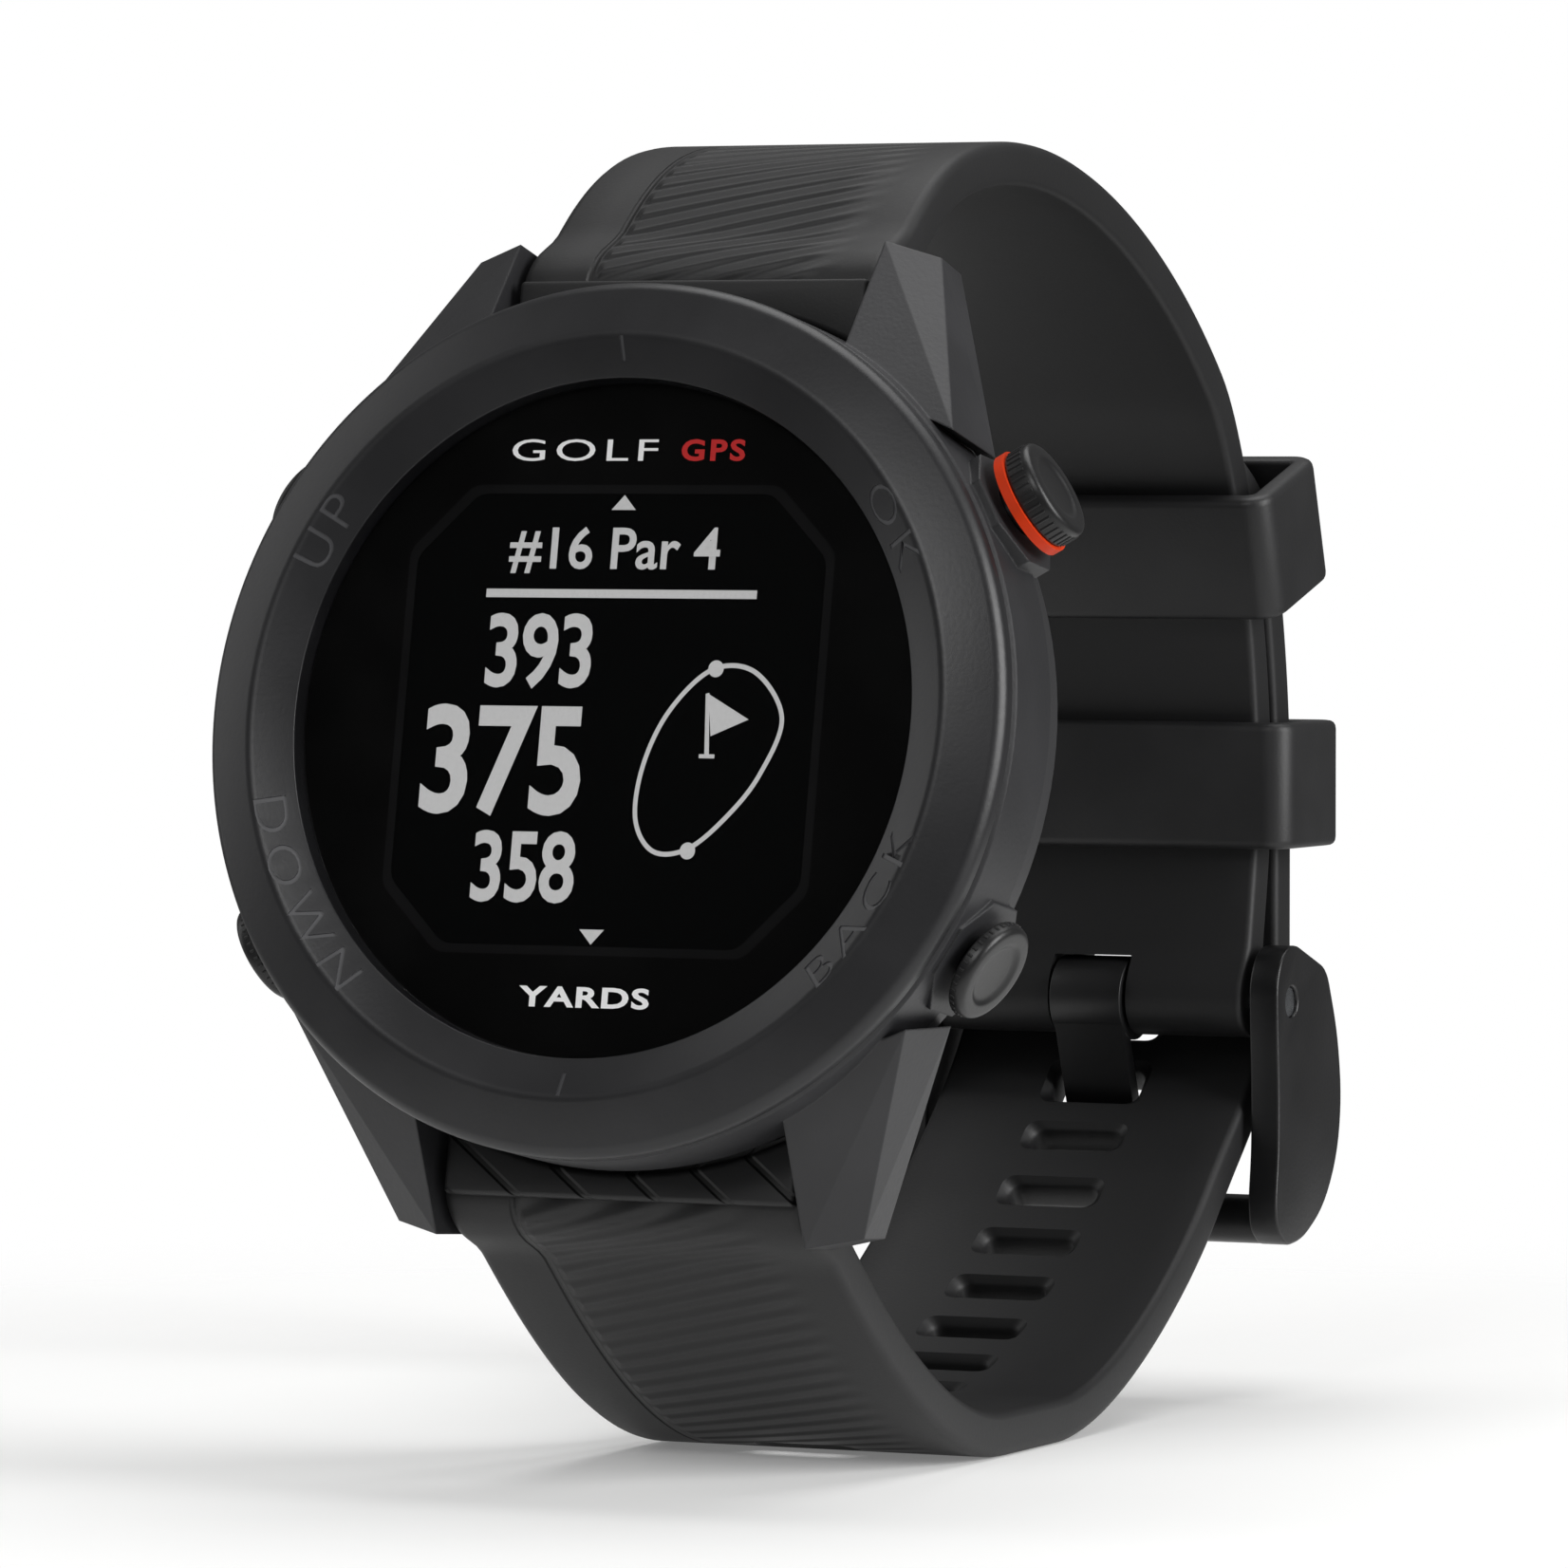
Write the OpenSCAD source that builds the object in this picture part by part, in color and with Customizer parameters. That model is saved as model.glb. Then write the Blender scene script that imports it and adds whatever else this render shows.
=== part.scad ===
// Golf GPS watch on a buckled silicone strap, millimetres.
// The row frame has +Z up, +X towards 3 o'clock and -Y out of the face.
// The watch stands on the flat under its strap, with the head leaning back.
// Head frame: x to 3 o'clock, y to 12 o'clock, z out of the glass, 0 on the glass.

/* [Case] */
// Outer diameter of the case and the bezel
case_d = 43.7; // [38:0.1:52]
// Thickness from the bezel's ridge to the back cover's island
case_t = 11.5; // [11:0.1:14]
// How far the head leans back on the closed strap, degrees
lean = 10.6; // [6:0.1:14]
// Wall of the case
case_wall = 2.65; // [2.2:0.05:3.2]
// Height of the bezel's ridge over the glass
ridge_h = 1.0; // [0.5:0.1:1.4]
// Width of the bezel's bowl between the glass and the ridge
bowl_w = 2.1; // [1.6:0.1:3]
// Diameter of the cover lens
lens_d = 33.8; // [30:0.1:36]
// Thickness of the cover lens
lens_t = 1.0; // [0.8:0.1:1.2]
// Depth of the parting line between bezel and case, below the glass
seam_drop = 1.3; // [1.2:0.1:1.6]

/* [Display and inside] */
// Side of the eight-sided display panel
display_w = 23.4; // [18:0.1:24]
// Corner cut of the display panel
display_cut = 3.5; // [2:0.1:5]
// Length of the battery
battery_l = 25; // [18:0.5:26]
// Width of the battery
battery_w = 20; // [14:0.5:22]

/* [Buttons] */
// Diameter of a button cap
cap_d = 5.3; // [4.4:0.1:6]
// Height of a button cap
cap_h = 1.9; // [1.4:0.1:2.4]
// Height of the three plain caps, without the ring under them
side_cap_h = 0.85; // [0.8:0.05:1.3]
// How far a button travels
press_travel = 0.45; // [0.3:0.05:0.5]
// Diameter of a button's stem
stem_d = 2.0; // [1.6:0.1:2.2]
// Angle of the buttons above and below the 3-9 line
button_angle = 30; // [26:1:34]

/* [Lugs and spring bars] */
// Gap between a pair of lugs
lug_gap = 20.4; // [18.4:0.1:22.4]
// Gap from the case's rim out to the axis of a spring bar, below 0 under the case
bar_gap = 1.05; // [-1.85:0.05:6.15]
// Spring bar's depth below the glass
bar_drop = 8.9; // [8.4:0.1:9.4]
// Diameter of a spring bar's tube
bar_d = 1.8; // [1.5:0.1:2]
// How far a quick-release tip draws back
release_travel = 1.1; // [0.8:0.1:1.2]

/* [Strap] */
// Width of the strap at the lugs
strap_w = 20; // [18:0.1:22]
// Width of the strap at the buckle and the tail
strap_end_w = 18.4; // [16:0.1:19]
// Thickness of the strap
strap_t = 2.3; // [1.8:0.1:2.6]
// Diameter of the strap's barrels, round the spring bars and the buckle bar
barrel_d = 4.0; // [3.6:0.1:4.4]
// Depth of the closed loop, from the glass to the buckle bar
loop_depth = 61.2; // [56:0.5:66]
// Rise of the upper strap's crown over its spring bar
crown_rise = 6.9; // [5:0.1:9]
// Drop of the lower strap's belly under its spring bar
belly_drop = 13.4; // [12:0.1:15]
// Gap between the two strap layers
layer_gap = 0.4; // [0.3:0.05:0.5]
// Width of an adjusting slot, across the strap
slot_w = 6.8; // [5:0.1:7]
// Length of an adjusting slot, along the strap
slot_l = 2.6; // [2.4:0.1:2.9]
// Distance from one slot to the next
slot_pitch = 4.2; // [3.8:0.1:5]
// Slots between the buckle and the lug
slots_before = 10; // [8:1:11]
// Slots between the buckle and the tail
slots_after = 3; // [2:1:4]

/* [Buckle and keepers] */
// Diameter of the buckle bar
buckle_bar_d = 1.6; // [1.2:0.1:1.8]
// Thickness of a buckle arm
arm_t = 1.7; // [1.4:0.1:2.2]
// Diameter of the buckle's crossbar
crossbar_d = 2.7; // [2.2:0.1:3]
// Width of the buckle's tongue
tongue_w = 4.2; // [3.6:0.1:5]
// Thickness of the buckle's tongue
tongue_t = 1.0; // [1:0.1:1.5]
// Width of a keeper, along the strap
keeper_w = 6.9; // [5:0.1:8]
// Wall of a keeper
keeper_wall = 1.2; // [1:0.1:1.5]

/* [Hidden] */
$fn = 96;
skin = 0.01;

// Clearances
seat_gap = 0.05;
run_gap = 0.05;
loose_gap = 0.35;

// Head heights, measured from the glass
case_r = case_d / 2;
bar_reach = case_r + bar_gap;
back_n = ridge_h - case_t;
case_back_n = back_n + 0.6;
cover_seat_n = case_back_n + 0.65;
cavity_r = case_r - case_wall;
lens_r = lens_d / 2;
adhesive_t = 0.12;
ledge_n = -lens_t - adhesive_t;
ledge_t = 0.75;
ledge_r = lens_r - 1.05;
spigot_r = cavity_r - 0.5;
spigot_n = -seam_drop - 1.3;
frame_r = spigot_r - 1.45;
panel_t = 0.85;
panel_n = -lens_t - 0.03;
guide_t = 0.65;
guide_n = panel_n - panel_t;
frame_n = guide_n - guide_t - 0.05;
frame_t = 0.8;
board_n = frame_n - frame_t - 0.15;
board_t = 0.8;
board_r = frame_r - 0.3;
switch_h = 1.4;
button_n = board_n - board_t - switch_h / 2;
battery_n = button_n - switch_h / 2 - 0.2;
battery_t = battery_n - cover_seat_n - 0.2;

// Buttons, along their own radial axis
boss_top = case_r + 0.5;
side_boss_top = case_r + 0.1;
boss_r = 3.3;
cap_base = boss_top + press_travel + 0.15;
side_cap_base = side_boss_top + press_travel + 0.15;
accent_t = 0.5;
stem_r = stem_d / 2;
seal_wire = 0.6;
seal_r = stem_r + 0.35;
chamber_r = seal_r + run_gap;
chamber_floor = cavity_r + 0.8;
seal_at = chamber_floor + press_travel + 0.5;
groove_r = seal_r - seal_wire;
clip_t = 0.35;
clip_r = stem_r + 0.7;
clip_at = cavity_r - 0.2 - clip_t;
clip_groove_r = stem_r - 0.3;
stem_end = clip_at - 1.05;
plunger_r = 0.6;
switch_out = board_r - 0.3;
switch_d = 1.7;
plunger_in = switch_out - 0.6;

// Screws and charging contacts
screw_ring = cavity_r - 2.6;
screw_boss_r = 1.5;
screw_r = 0.7;
screw_head_r = 1.25;
contact_pitch = 1.6;
contact_y = -6;

// Spring bars and buckle bar, in the row's Y and Z from the glass's centre
function lean_y(v, n) = v * sin(lean) - n * cos(lean);
function lean_z(v, n) = v * cos(lean) + n * sin(lean);
bar_r = bar_d / 2;
barrel_r = barrel_d / 2;
tip_r = 0.5;
tip_reach = lug_gap / 2 + 1.1;
tube_half = strap_w / 2 - 0.8;
upper_bar = [lean_y(bar_reach, -bar_drop), lean_z(bar_reach, -bar_drop)];
lower_bar = [lean_y(-bar_reach, -bar_drop), lean_z(-bar_reach, -bar_drop)];
buckle_at = [loop_depth, -17];

// Strap centre lines: curves of four points each, joined end to end
crown_z = upper_bar[1] + crown_rise;
belly_z = lower_bar[1] - belly_drop;
back_y = buckle_at[0] + 1.5;
layer_step = strap_t + layer_gap;
tail_y = back_y + layer_step;
upper_curves = [
    [upper_bar, upper_bar + [5.0, 4.8], [20.8, crown_z], [28.8, crown_z]],
    [[28.8, crown_z], [38.8, crown_z], [back_y - 13.3, 22.7], [back_y - 6.7, 16.5]],
    [[back_y - 6.7, 16.5], [back_y - 3.0, 13.0], [back_y, 2.5], [back_y, -5.5]],
    [[back_y, -5.5], [back_y, -9.5], buckle_at + [0.4, 4.2], buckle_at]];
lower_curves = [
    [lower_bar, lower_bar + [4.3, -4.0], [17.8, belly_z], [27.5, belly_z]],
    [[27.5, belly_z], [30, belly_z], [32, belly_z], [34.5, belly_z]],
    [[34.5, belly_z], [41.5, belly_z], buckle_at + [-10.0, -14.9], buckle_at + [-5.7, -10.8]],
    [buckle_at + [-5.7, -10.8], buckle_at + [-2.1, -7.4], [tail_y, buckle_at[1] - 3.0],
     [tail_y, buckle_at[1] + 2.0]],
    [[tail_y, buckle_at[1] + 2.0], [tail_y, -12], [tail_y, -9], [tail_y, -5.5]]];
curve_steps = 12;

function curve_point(c, t) =
    c[0] * pow(1 - t, 3) + c[1] * 3 * t * pow(1 - t, 2) + c[2] * 3 * t * t * (1 - t)
    + c[3] * pow(t, 3);
function curve_slope(c, t) =
    (c[1] - c[0]) * 3 * pow(1 - t, 2) + (c[2] - c[1]) * 6 * t * (1 - t)
    + (c[3] - c[2]) * 3 * t * t;
function unit(v) = v / norm(v);
// The left-hand normal of a direction
function left(v) = [-v[1], v[0]];
// Points [y, z] and unit directions along a chain of curves
function chain(curves) = concat(
    [for (c = curves) for (i = [0 : curve_steps - 1])
        [curve_point(c, i / curve_steps), unit(curve_slope(c, i / curve_steps))]],
    [[curve_point(curves[len(curves) - 1], 1), unit(curve_slope(curves[len(curves) - 1], 1))]]);
upper_run = chain(upper_curves);
// The tail lies outside the upper strap, a layer's step away, up to the upper keeper
tail_curve = upper_curves[2];
tail_reach = 0.28;
tail_steps = 10;
tail_run = [for (i = [1 : tail_steps])
    let (t = 1 - (1 - tail_reach) * i / tail_steps, d = unit(curve_slope(tail_curve, t)))
    [curve_point(tail_curve, t) + left(d) * layer_step, -d]];
lower_run = concat(chain(lower_curves), tail_run);

// Distance along a run at each of its points
function run_length(run, i) = i == 0 ? 0 : run_length(run, i - 1) + norm(run[i][0] - run[i - 1][0]);
lower_s = [for (i = [0 : len(lower_run) - 1]) run_length(lower_run, i)];
lower_y = [for (i = [0 : len(lower_run) - 1]) [lower_s[i], lower_run[i][0][0]]];
lower_z = [for (i = [0 : len(lower_run) - 1]) [lower_s[i], lower_run[i][0][1]]];
function lower_at(s) = [lookup(s, lower_y), lookup(s, lower_z)];
function lower_dir(s) = unit(lower_at(s + 0.2) - lower_at(s - 0.2));

// Where the tongue crosses the lower strap, and the slots counted from there
tongue_eye_r = barrel_r + 0.3;
tongue_turn = 20;
tongue_dir = [sin(tongue_turn), -cos(tongue_turn)];
tongue_from = buckle_at + [-(tongue_eye_r - tongue_t / 2), 0];
tongue_l = 11.4;
function off_tongue(p) = abs((p - tongue_from) * left(tongue_dir));
tongue_tries = [for (s = [lower_s[40] : 0.05 : lower_s[46]]) [off_tongue(lower_at(s)), s]];
tongue_best = min([for (t = tongue_tries) t[0]]);
buckled_s = [for (t = tongue_tries) if (t[0] == tongue_best) t[1]][0];

// Buckle frame, measured from the buckle bar
crossbar_at = [-0.2, -11.9];
arm_deep = 7.2;
arm_in = strap_end_w / 2 + loose_gap + 0.15;
arm_out = arm_in + arm_t;

// Keepers sit square across both layers
lower_keeper_at = [back_y + layer_step / 2, -5.2];
upper_keeper_t = 0.47;
upper_keeper_dir = unit(curve_slope(tail_curve, upper_keeper_t));
upper_keeper_at = curve_point(tail_curve, upper_keeper_t) + left(upper_keeper_dir) * layer_step / 2;
keeper_half_w = strap_w / 2 + loose_gap;
keeper_hole_t = 2 * strap_t + layer_gap + 2 * loose_gap + 0.2;

// The row's origin is the middle of the box's base
ground = belly_z - strap_t / 2;
front_y = lean_y(-(lens_r + bowl_w), ridge_h);
rear_y = max(tail_y + strap_t / 2 + loose_gap + 0.1 + keeper_wall, buckle_at[0] + arm_deep);
centre_y = (front_y + rear_y) / 2;

// Places a piece made in the loop's frame: x across, then the loop's Y and Z
module loop_frame() translate([0, -centre_y, -ground]) children();
// Places a piece made in the head frame
module head_frame() loop_frame() rotate([90 - lean, 0, 0]) children();
// Places a piece on a button's radial axis, with +z outwards
module button_axis(angle) head_frame() translate([0, 0, button_n]) rotate([0, 0, angle])
    rotate([0, 90, 0]) children();
// Turns a side outline in Y and Z into a slab across x
module slab(from_x, to_x) translate([from_x, 0, 0]) rotate([90, 0, 90])
    linear_extrude(to_x - from_x) children();
// A round bar across the loop at a point in Y and Z
module cross_rod(at, r, from_x, to_x) translate([from_x, at[0], at[1]]) rotate([0, 90, 0])
    cylinder(r = r, h = to_x - from_x);
// A flat ring in the head frame
module flat_ring(r_in, r_out, n_low, n_high) translate([0, 0, n_low]) difference() {
    cylinder(r = r_out, h = n_high - n_low);
    translate([0, 0, -1]) cylinder(r = r_in, h = n_high - n_low + 2);
}
// A square with cut corners
module cut_square(w, cut) {
    h = w / 2;
    polygon([[-h + cut, -h], [h - cut, -h], [h, -h + cut], [h, h - cut],
             [h - cut, h], [-h + cut, h], [-h, h - cut], [-h, -h + cut]]);
}

// ---- Watch head ----
module bezel() color("#2b2b2d") head_frame() rotate_extrude() polygon([
    [ledge_r, ledge_n - ledge_t], [ledge_r, ledge_n], [lens_r + seat_gap, ledge_n],
    [lens_r + seat_gap, 0], [lens_r + bowl_w, ridge_h], [case_r - 0.3, 0],
    [case_r, -0.45], [case_r, -seam_drop + 0.2], [case_r - 0.35, -seam_drop],
    [spigot_r, -seam_drop], [spigot_r, spigot_n], [spigot_r - 1.0, spigot_n],
    [spigot_r - 1.0, ledge_n - ledge_t]]);

module cover_lens() color("#101012") head_frame() translate([0, 0, -lens_t])
    cylinder(r = lens_r, h = lens_t);

module lens_adhesive() color("#1c1c1c") head_frame()
    flat_ring(ledge_r + 0.1, lens_r - 0.1, ledge_n, ledge_n + adhesive_t);

module display_panel() color("#0c0f10") head_frame() translate([0, 0, panel_n - panel_t])
    linear_extrude(panel_t) cut_square(display_w, display_cut);

module display_light_guide() color("#d8dcdc") head_frame()
    translate([0, 0, guide_n - guide_t]) linear_extrude(guide_t)
    cut_square(display_w - 0.6, display_cut);

flex_w = 8;
flex_t = 0.2;
flex_y = display_w / 2 + 0.5;
module display_flex() color("#a8641e") head_frame() union() {
    translate([-flex_w / 2, -flex_y, board_n]) cube([flex_w, flex_t, panel_n - 0.2 - board_n]);
    translate([-flex_w / 2, -flex_y, panel_n - 0.4]) cube([flex_w, 0.5, flex_t]);
    translate([-flex_w / 2, -flex_y, board_n]) cube([flex_w, 2.5, 0.12]);
}

module inner_frame() color("#3a3c3e") head_frame() difference() {
    union() {
        translate([0, 0, frame_n - frame_t]) cylinder(r = frame_r, h = frame_t);
        flat_ring(frame_r - 0.7, frame_r, frame_n - skin, ledge_n - ledge_t - 0.05);
        for (a = [45 : 90 : 315]) rotate([0, 0, a]) translate([board_r - 3, 0, board_n])
            cylinder(r = 1, h = frame_n - board_n - skin);
    }
    translate([-flex_w / 2 - 0.4, -flex_y - 0.3, board_n]) cube([flex_w + 0.8, 3.2, 4]);
}

module main_board() color("#1f5a38") head_frame() difference() {
    translate([0, 0, board_n - board_t]) cylinder(r = board_r, h = board_t);
    for (a = [45 : 90 : 315]) rotate([0, 0, a])
        translate([board_r - 3, 0, board_n - board_t - 1]) cylinder(r = 0.5, h = 4);
}

antenna_sweep = 110;
module gps_antenna() color("#c9a25a") head_frame() translate([0, 0, frame_n])
    rotate([0, 0, 90 - antenna_sweep / 2]) rotate_extrude(angle = antenna_sweep)
    translate([frame_r - 1.9, 0]) square([1.0, 0.6]);

module battery() color("#b8bcc0") head_frame()
    translate([-battery_l / 2, -battery_w / 2, battery_n - battery_t])
    cube([battery_l, battery_w, battery_t]);

// One lug: a wedge from the case to its spring bar hole, steep outside and sharp in front
lug_in = lug_gap / 2;
lug_tip = bar_reach + 2.4;
lug_back_n = -bar_drop - 1.7;
module lug() {
    root_x = case_r * cos(41.5) + 0.5;
    root_y = case_r * sin(41.5) + 0.3;
    hull() {
        translate([lug_in, lug_tip - 0.1, lug_back_n + 3.6]) cube(skin);
        translate([lug_in + 2.7, lug_tip - 0.8, lug_back_n + 2.6]) cube(skin);
        translate([lug_in, lug_tip - 0.5, lug_back_n]) cube(skin);
        translate([lug_in + 2.6, lug_tip - 1.1, lug_back_n]) cube(skin);
        translate([root_x, root_y, -seam_drop - 1.1]) cube(skin);
        translate([root_x + 0.6, root_y - 0.7, -6.3]) cube(skin);
        translate([root_x - 1.4, root_y - 0.9, case_back_n + 0.1]) cube(skin);
        translate([lug_in, cavity_r - 1.6, -seam_drop - 1.1]) cube(skin);
        translate([lug_in, cavity_r - 1.6, case_back_n + 0.1]) cube(skin);
    }
}

module button_boss(angle, top) rotate([0, 0, angle]) translate([cavity_r + 0.4, 0, button_n])
    rotate([0, 90, 0]) rotate([0, 0, 22.5]) cylinder(r = boss_r, h = top - cavity_r - 0.4, $fn = 8);
module case_body() color("#2d2d2f") head_frame() difference() {
    union() {
        // The wall, with a ledge for the back cover
        rotate_extrude() polygon([
            [cavity_r, -seam_drop], [case_r - 0.35, -seam_drop], [case_r, -seam_drop - 0.3],
            [case_r, -5.6], [case_r - 0.5, -7.6], [case_r - 1.9, case_back_n],
            [cavity_r, case_back_n], [cavity_r, cover_seat_n], [cavity_r - 1.2, cover_seat_n],
            [cavity_r - 1.2, cover_seat_n + 0.7], [cavity_r, cover_seat_n + 0.7]]);
        for (mx = [0, 1]) for (my = [0, 1]) mirror([mx, 0, 0]) mirror([0, my, 0]) lug();
        button_boss(button_angle, boss_top);
        for (a = [180 - button_angle, 180 + button_angle, -button_angle]) button_boss(a, side_boss_top);
        for (a = [0 : 90 : 270]) rotate([0, 0, a]) {
            translate([screw_ring, 0, cover_seat_n]) cylinder(r = screw_boss_r, h = 2.8);
            translate([screw_ring, -1, cover_seat_n]) cube([cavity_r - screw_ring + 0.5, 2, 2.8]);
        }
    }
    flat_ring(cavity_r - 0.9, cavity_r - 0.3, cover_seat_n - 1, cover_seat_n + 0.35);
    for (a = [0 : 90 : 270]) rotate([0, 0, a]) translate([screw_ring, 0, cover_seat_n - 1])
        cylinder(r = screw_r + 0.02, h = 3.4);
    // Button bores: a guide, then a chamber for the seal
    for (a = [button_angle, 180 - button_angle, 180 + button_angle, -button_angle])
        rotate([0, 0, a]) translate([cavity_r - 2, 0, button_n]) rotate([0, 90, 0]) {
            cylinder(r = stem_r + run_gap, h = 5);
            translate([0, 0, chamber_floor - cavity_r + 2]) cylinder(r = chamber_r, h = 5);
        }
    // Blind holes for the spring bars' tips, and room for the strap's barrels
    for (s = [-1, 1]) translate([0, s * bar_reach, -bar_drop]) rotate([0, 90, 0]) {
        cylinder(r = tip_r + run_gap, h = 2 * tip_reach + 0.4, center = true);
        cylinder(r = barrel_r + loose_gap, h = lug_gap, center = true);
    }
}

module case_gasket() color("#151515") head_frame()
    flat_ring(spigot_r + 0.02, cavity_r - 0.02, -seam_drop - 1.0, -seam_drop - 0.25);

module back_cover() color("#232324") head_frame() difference() {
    rotate_extrude() polygon([
        [0, cover_seat_n - skin], [cavity_r - 0.08, cover_seat_n - skin],
        [cavity_r - 0.08, case_back_n], [cavity_r - 0.6, case_back_n - 0.15],
        [13.6, case_back_n - 0.15], [12.6, back_n], [0, back_n]]);
    for (a = [0 : 90 : 270]) rotate([0, 0, a]) {
        translate([screw_ring, 0, case_back_n - 1]) cylinder(r = screw_r + 0.15, h = 3);
        translate([screw_ring, 0, case_back_n - 1]) cylinder(r = screw_head_r + 0.05, h = 1.25);
    }
    translate([-4.5, contact_y - 2, back_n - 1]) cube([9, 4, 3]);
}

module back_gasket() color("#151515") head_frame()
    flat_ring(cavity_r - 0.88, cavity_r - 0.32, cover_seat_n, cover_seat_n + 0.33);

module back_screws() color("#9a9da1") head_frame() for (a = [0 : 90 : 270])
    rotate([0, 0, a]) translate([screw_ring, 0, 0]) difference() {
        union() {
            translate([0, 0, case_back_n - 0.1]) cylinder(r = screw_head_r, h = 0.34);
            translate([0, 0, case_back_n]) cylinder(r = screw_r, h = 3.0);
        }
        for (t = [0, 90]) rotate([0, 0, t])
            translate([-0.75, -0.14, case_back_n - 1]) cube([1.5, 0.28, 1.1]);
    }

module contact_block() color("#1a1a1b") head_frame() difference() {
    translate([-4.45, contact_y - 1.95, back_n + 0.3]) cube([8.9, 3.9, cover_seat_n - back_n - 0.3]);
    for (i = [-1.5 : 1 : 1.5]) translate([i * contact_pitch, contact_y, back_n - 1])
        cylinder(r = 0.5, h = 4, $fn = 32);
}

module charging_contacts() color("#d4af5f") head_frame() for (i = [-1.5 : 1 : 1.5])
    translate([i * contact_pitch, contact_y, back_n + 0.2])
    cylinder(r = 0.48, h = cover_seat_n - back_n - 0.2, $fn = 32);

// ---- Buttons ----
// A cap with its stem, grooved for the seal and the clip
module button(angle, base, top) button_axis(angle) difference() {
    union() {
        translate([0, 0, base]) rotate_extrude() polygon([
            [0, 0], [cap_d / 2 - 0.15, 0], [cap_d / 2, 0.15],
            [cap_d / 2, top - base - 0.5], [cap_d / 2 - 0.5, top - base],
            [1.6, top - base], [1.3, top - base - 0.2], [0, top - base - 0.2]]);
        translate([0, 0, stem_end]) cylinder(r = stem_r, h = base - stem_end + skin);
    }
    translate([0, 0, seal_at]) flat_ring(groove_r, stem_r + 1, 0, seal_wire);
    translate([0, 0, clip_at - 0.02]) flat_ring(clip_groove_r, stem_r + 1, 0, clip_t + 0.04);
}
module seal(angle) button_axis(angle) translate([0, 0, seal_at + 0.02]) rotate_extrude()
    polygon([[groove_r + 0.01, 0], [seal_r - 0.15, 0], [seal_r, 0.15],
             [seal_r, seal_wire - 0.19], [seal_r - 0.15, seal_wire - 0.04],
             [groove_r + 0.01, seal_wire - 0.04]]);
module clip(angle) button_axis(angle) difference() {
    flat_ring(clip_groove_r + 0.01, clip_r, clip_at, clip_at + clip_t);
    translate([0, -0.6, clip_at - 1]) cube([3, 1.2, 3]);
}
module plunger(angle) button_axis(angle) translate([0, 0, plunger_in])
    cylinder(r = plunger_r, h = stem_end - plunger_in - 0.02, $fn = 48);
module tact_switch(angle) button_axis(angle) difference() {
    translate([-switch_h / 2, -2, switch_out - switch_d]) cube([switch_h, 4, switch_d]);
    translate([0, 0, switch_out - 1.2]) cylinder(r = plunger_r + run_gap, h = 3, $fn = 48);
}

ok_angle = button_angle;
up_angle = 180 - button_angle;
down_angle = 180 + button_angle;
back_angle = -button_angle;

module ok_button() color("#1d1d1e") button(ok_angle, cap_base + accent_t, cap_base + cap_h);
module ok_accent_ring() color("#f04a1c") button_axis(ok_angle)
    flat_ring(stem_r + 0.01, cap_d / 2 + 0.12, cap_base, cap_base + accent_t);
module ok_seal() color("#111111") seal(ok_angle);
module ok_clip() color("#a0a3a6") clip(ok_angle);
module ok_plunger() color("#d0d0c8") plunger(ok_angle);
module ok_switch() color("#85888c") tact_switch(ok_angle);
module back_button() color("#1d1d1e") button(back_angle, side_cap_base, side_cap_base + side_cap_h);
module back_seal() color("#111111") seal(back_angle);
module back_clip() color("#a0a3a6") clip(back_angle);
module back_plunger() color("#d0d0c8") plunger(back_angle);
module back_switch() color("#85888c") tact_switch(back_angle);
module up_button() color("#1d1d1e") button(up_angle, side_cap_base, side_cap_base + side_cap_h);
module up_seal() color("#111111") seal(up_angle);
module up_clip() color("#a0a3a6") clip(up_angle);
module up_plunger() color("#d0d0c8") plunger(up_angle);
module up_switch() color("#85888c") tact_switch(up_angle);
module down_button() color("#1d1d1e") button(down_angle, side_cap_base, side_cap_base + side_cap_h);
module down_seal() color("#111111") seal(down_angle);
module down_clip() color("#a0a3a6") clip(down_angle);
module down_plunger() color("#d0d0c8") plunger(down_angle);
module down_switch() color("#85888c") tact_switch(down_angle);

// ---- Strap ----
// The side outline of a run, strap_t thick
function run_side(run, side) = [for (p = run) p[0] + left(p[1]) * side * strap_t / 2];
function backwards(list) = [for (i = [len(list) - 1 : -1 : 0]) list[i]];
// A strap half: its side outline across x, tapering from the lugs to the back of the loop
module band(run) intersection() {
    slab(-strap_w / 2, strap_w / 2) polygon(concat(run_side(run, 1), backwards(run_side(run, -1))));
    linear_extrude(200, center = true) polygon([
        [-strap_w / 2, -200], [strap_w / 2, -200], [strap_w / 2, upper_bar[0] + 4],
        [strap_end_w / 2, buckle_at[0] - 3], [strap_end_w / 2, 200], [-strap_end_w / 2, 200],
        [-strap_end_w / 2, buckle_at[0] - 3], [-strap_w / 2, upper_bar[0] + 4]]);
}

knob_x = strap_w / 2 - 3.6;
// Room for a spring bar in a strap's barrel, with a window for its release knob
module bar_room(at, dir) {
    cross_rod(at, bar_r + run_gap, -strap_w, strap_w);
    translate([knob_x - release_travel - 0.9, at[0], at[1]])
        rotate([atan2(dir[1], dir[0]), 0, 0]) translate([0, 0, -1.0])
        cube([release_travel + 1.8, 6, 2.0]);
}
upper_knob_dir = [0.69, -0.72];
lower_knob_dir = [0.73, 0.68];

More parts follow.
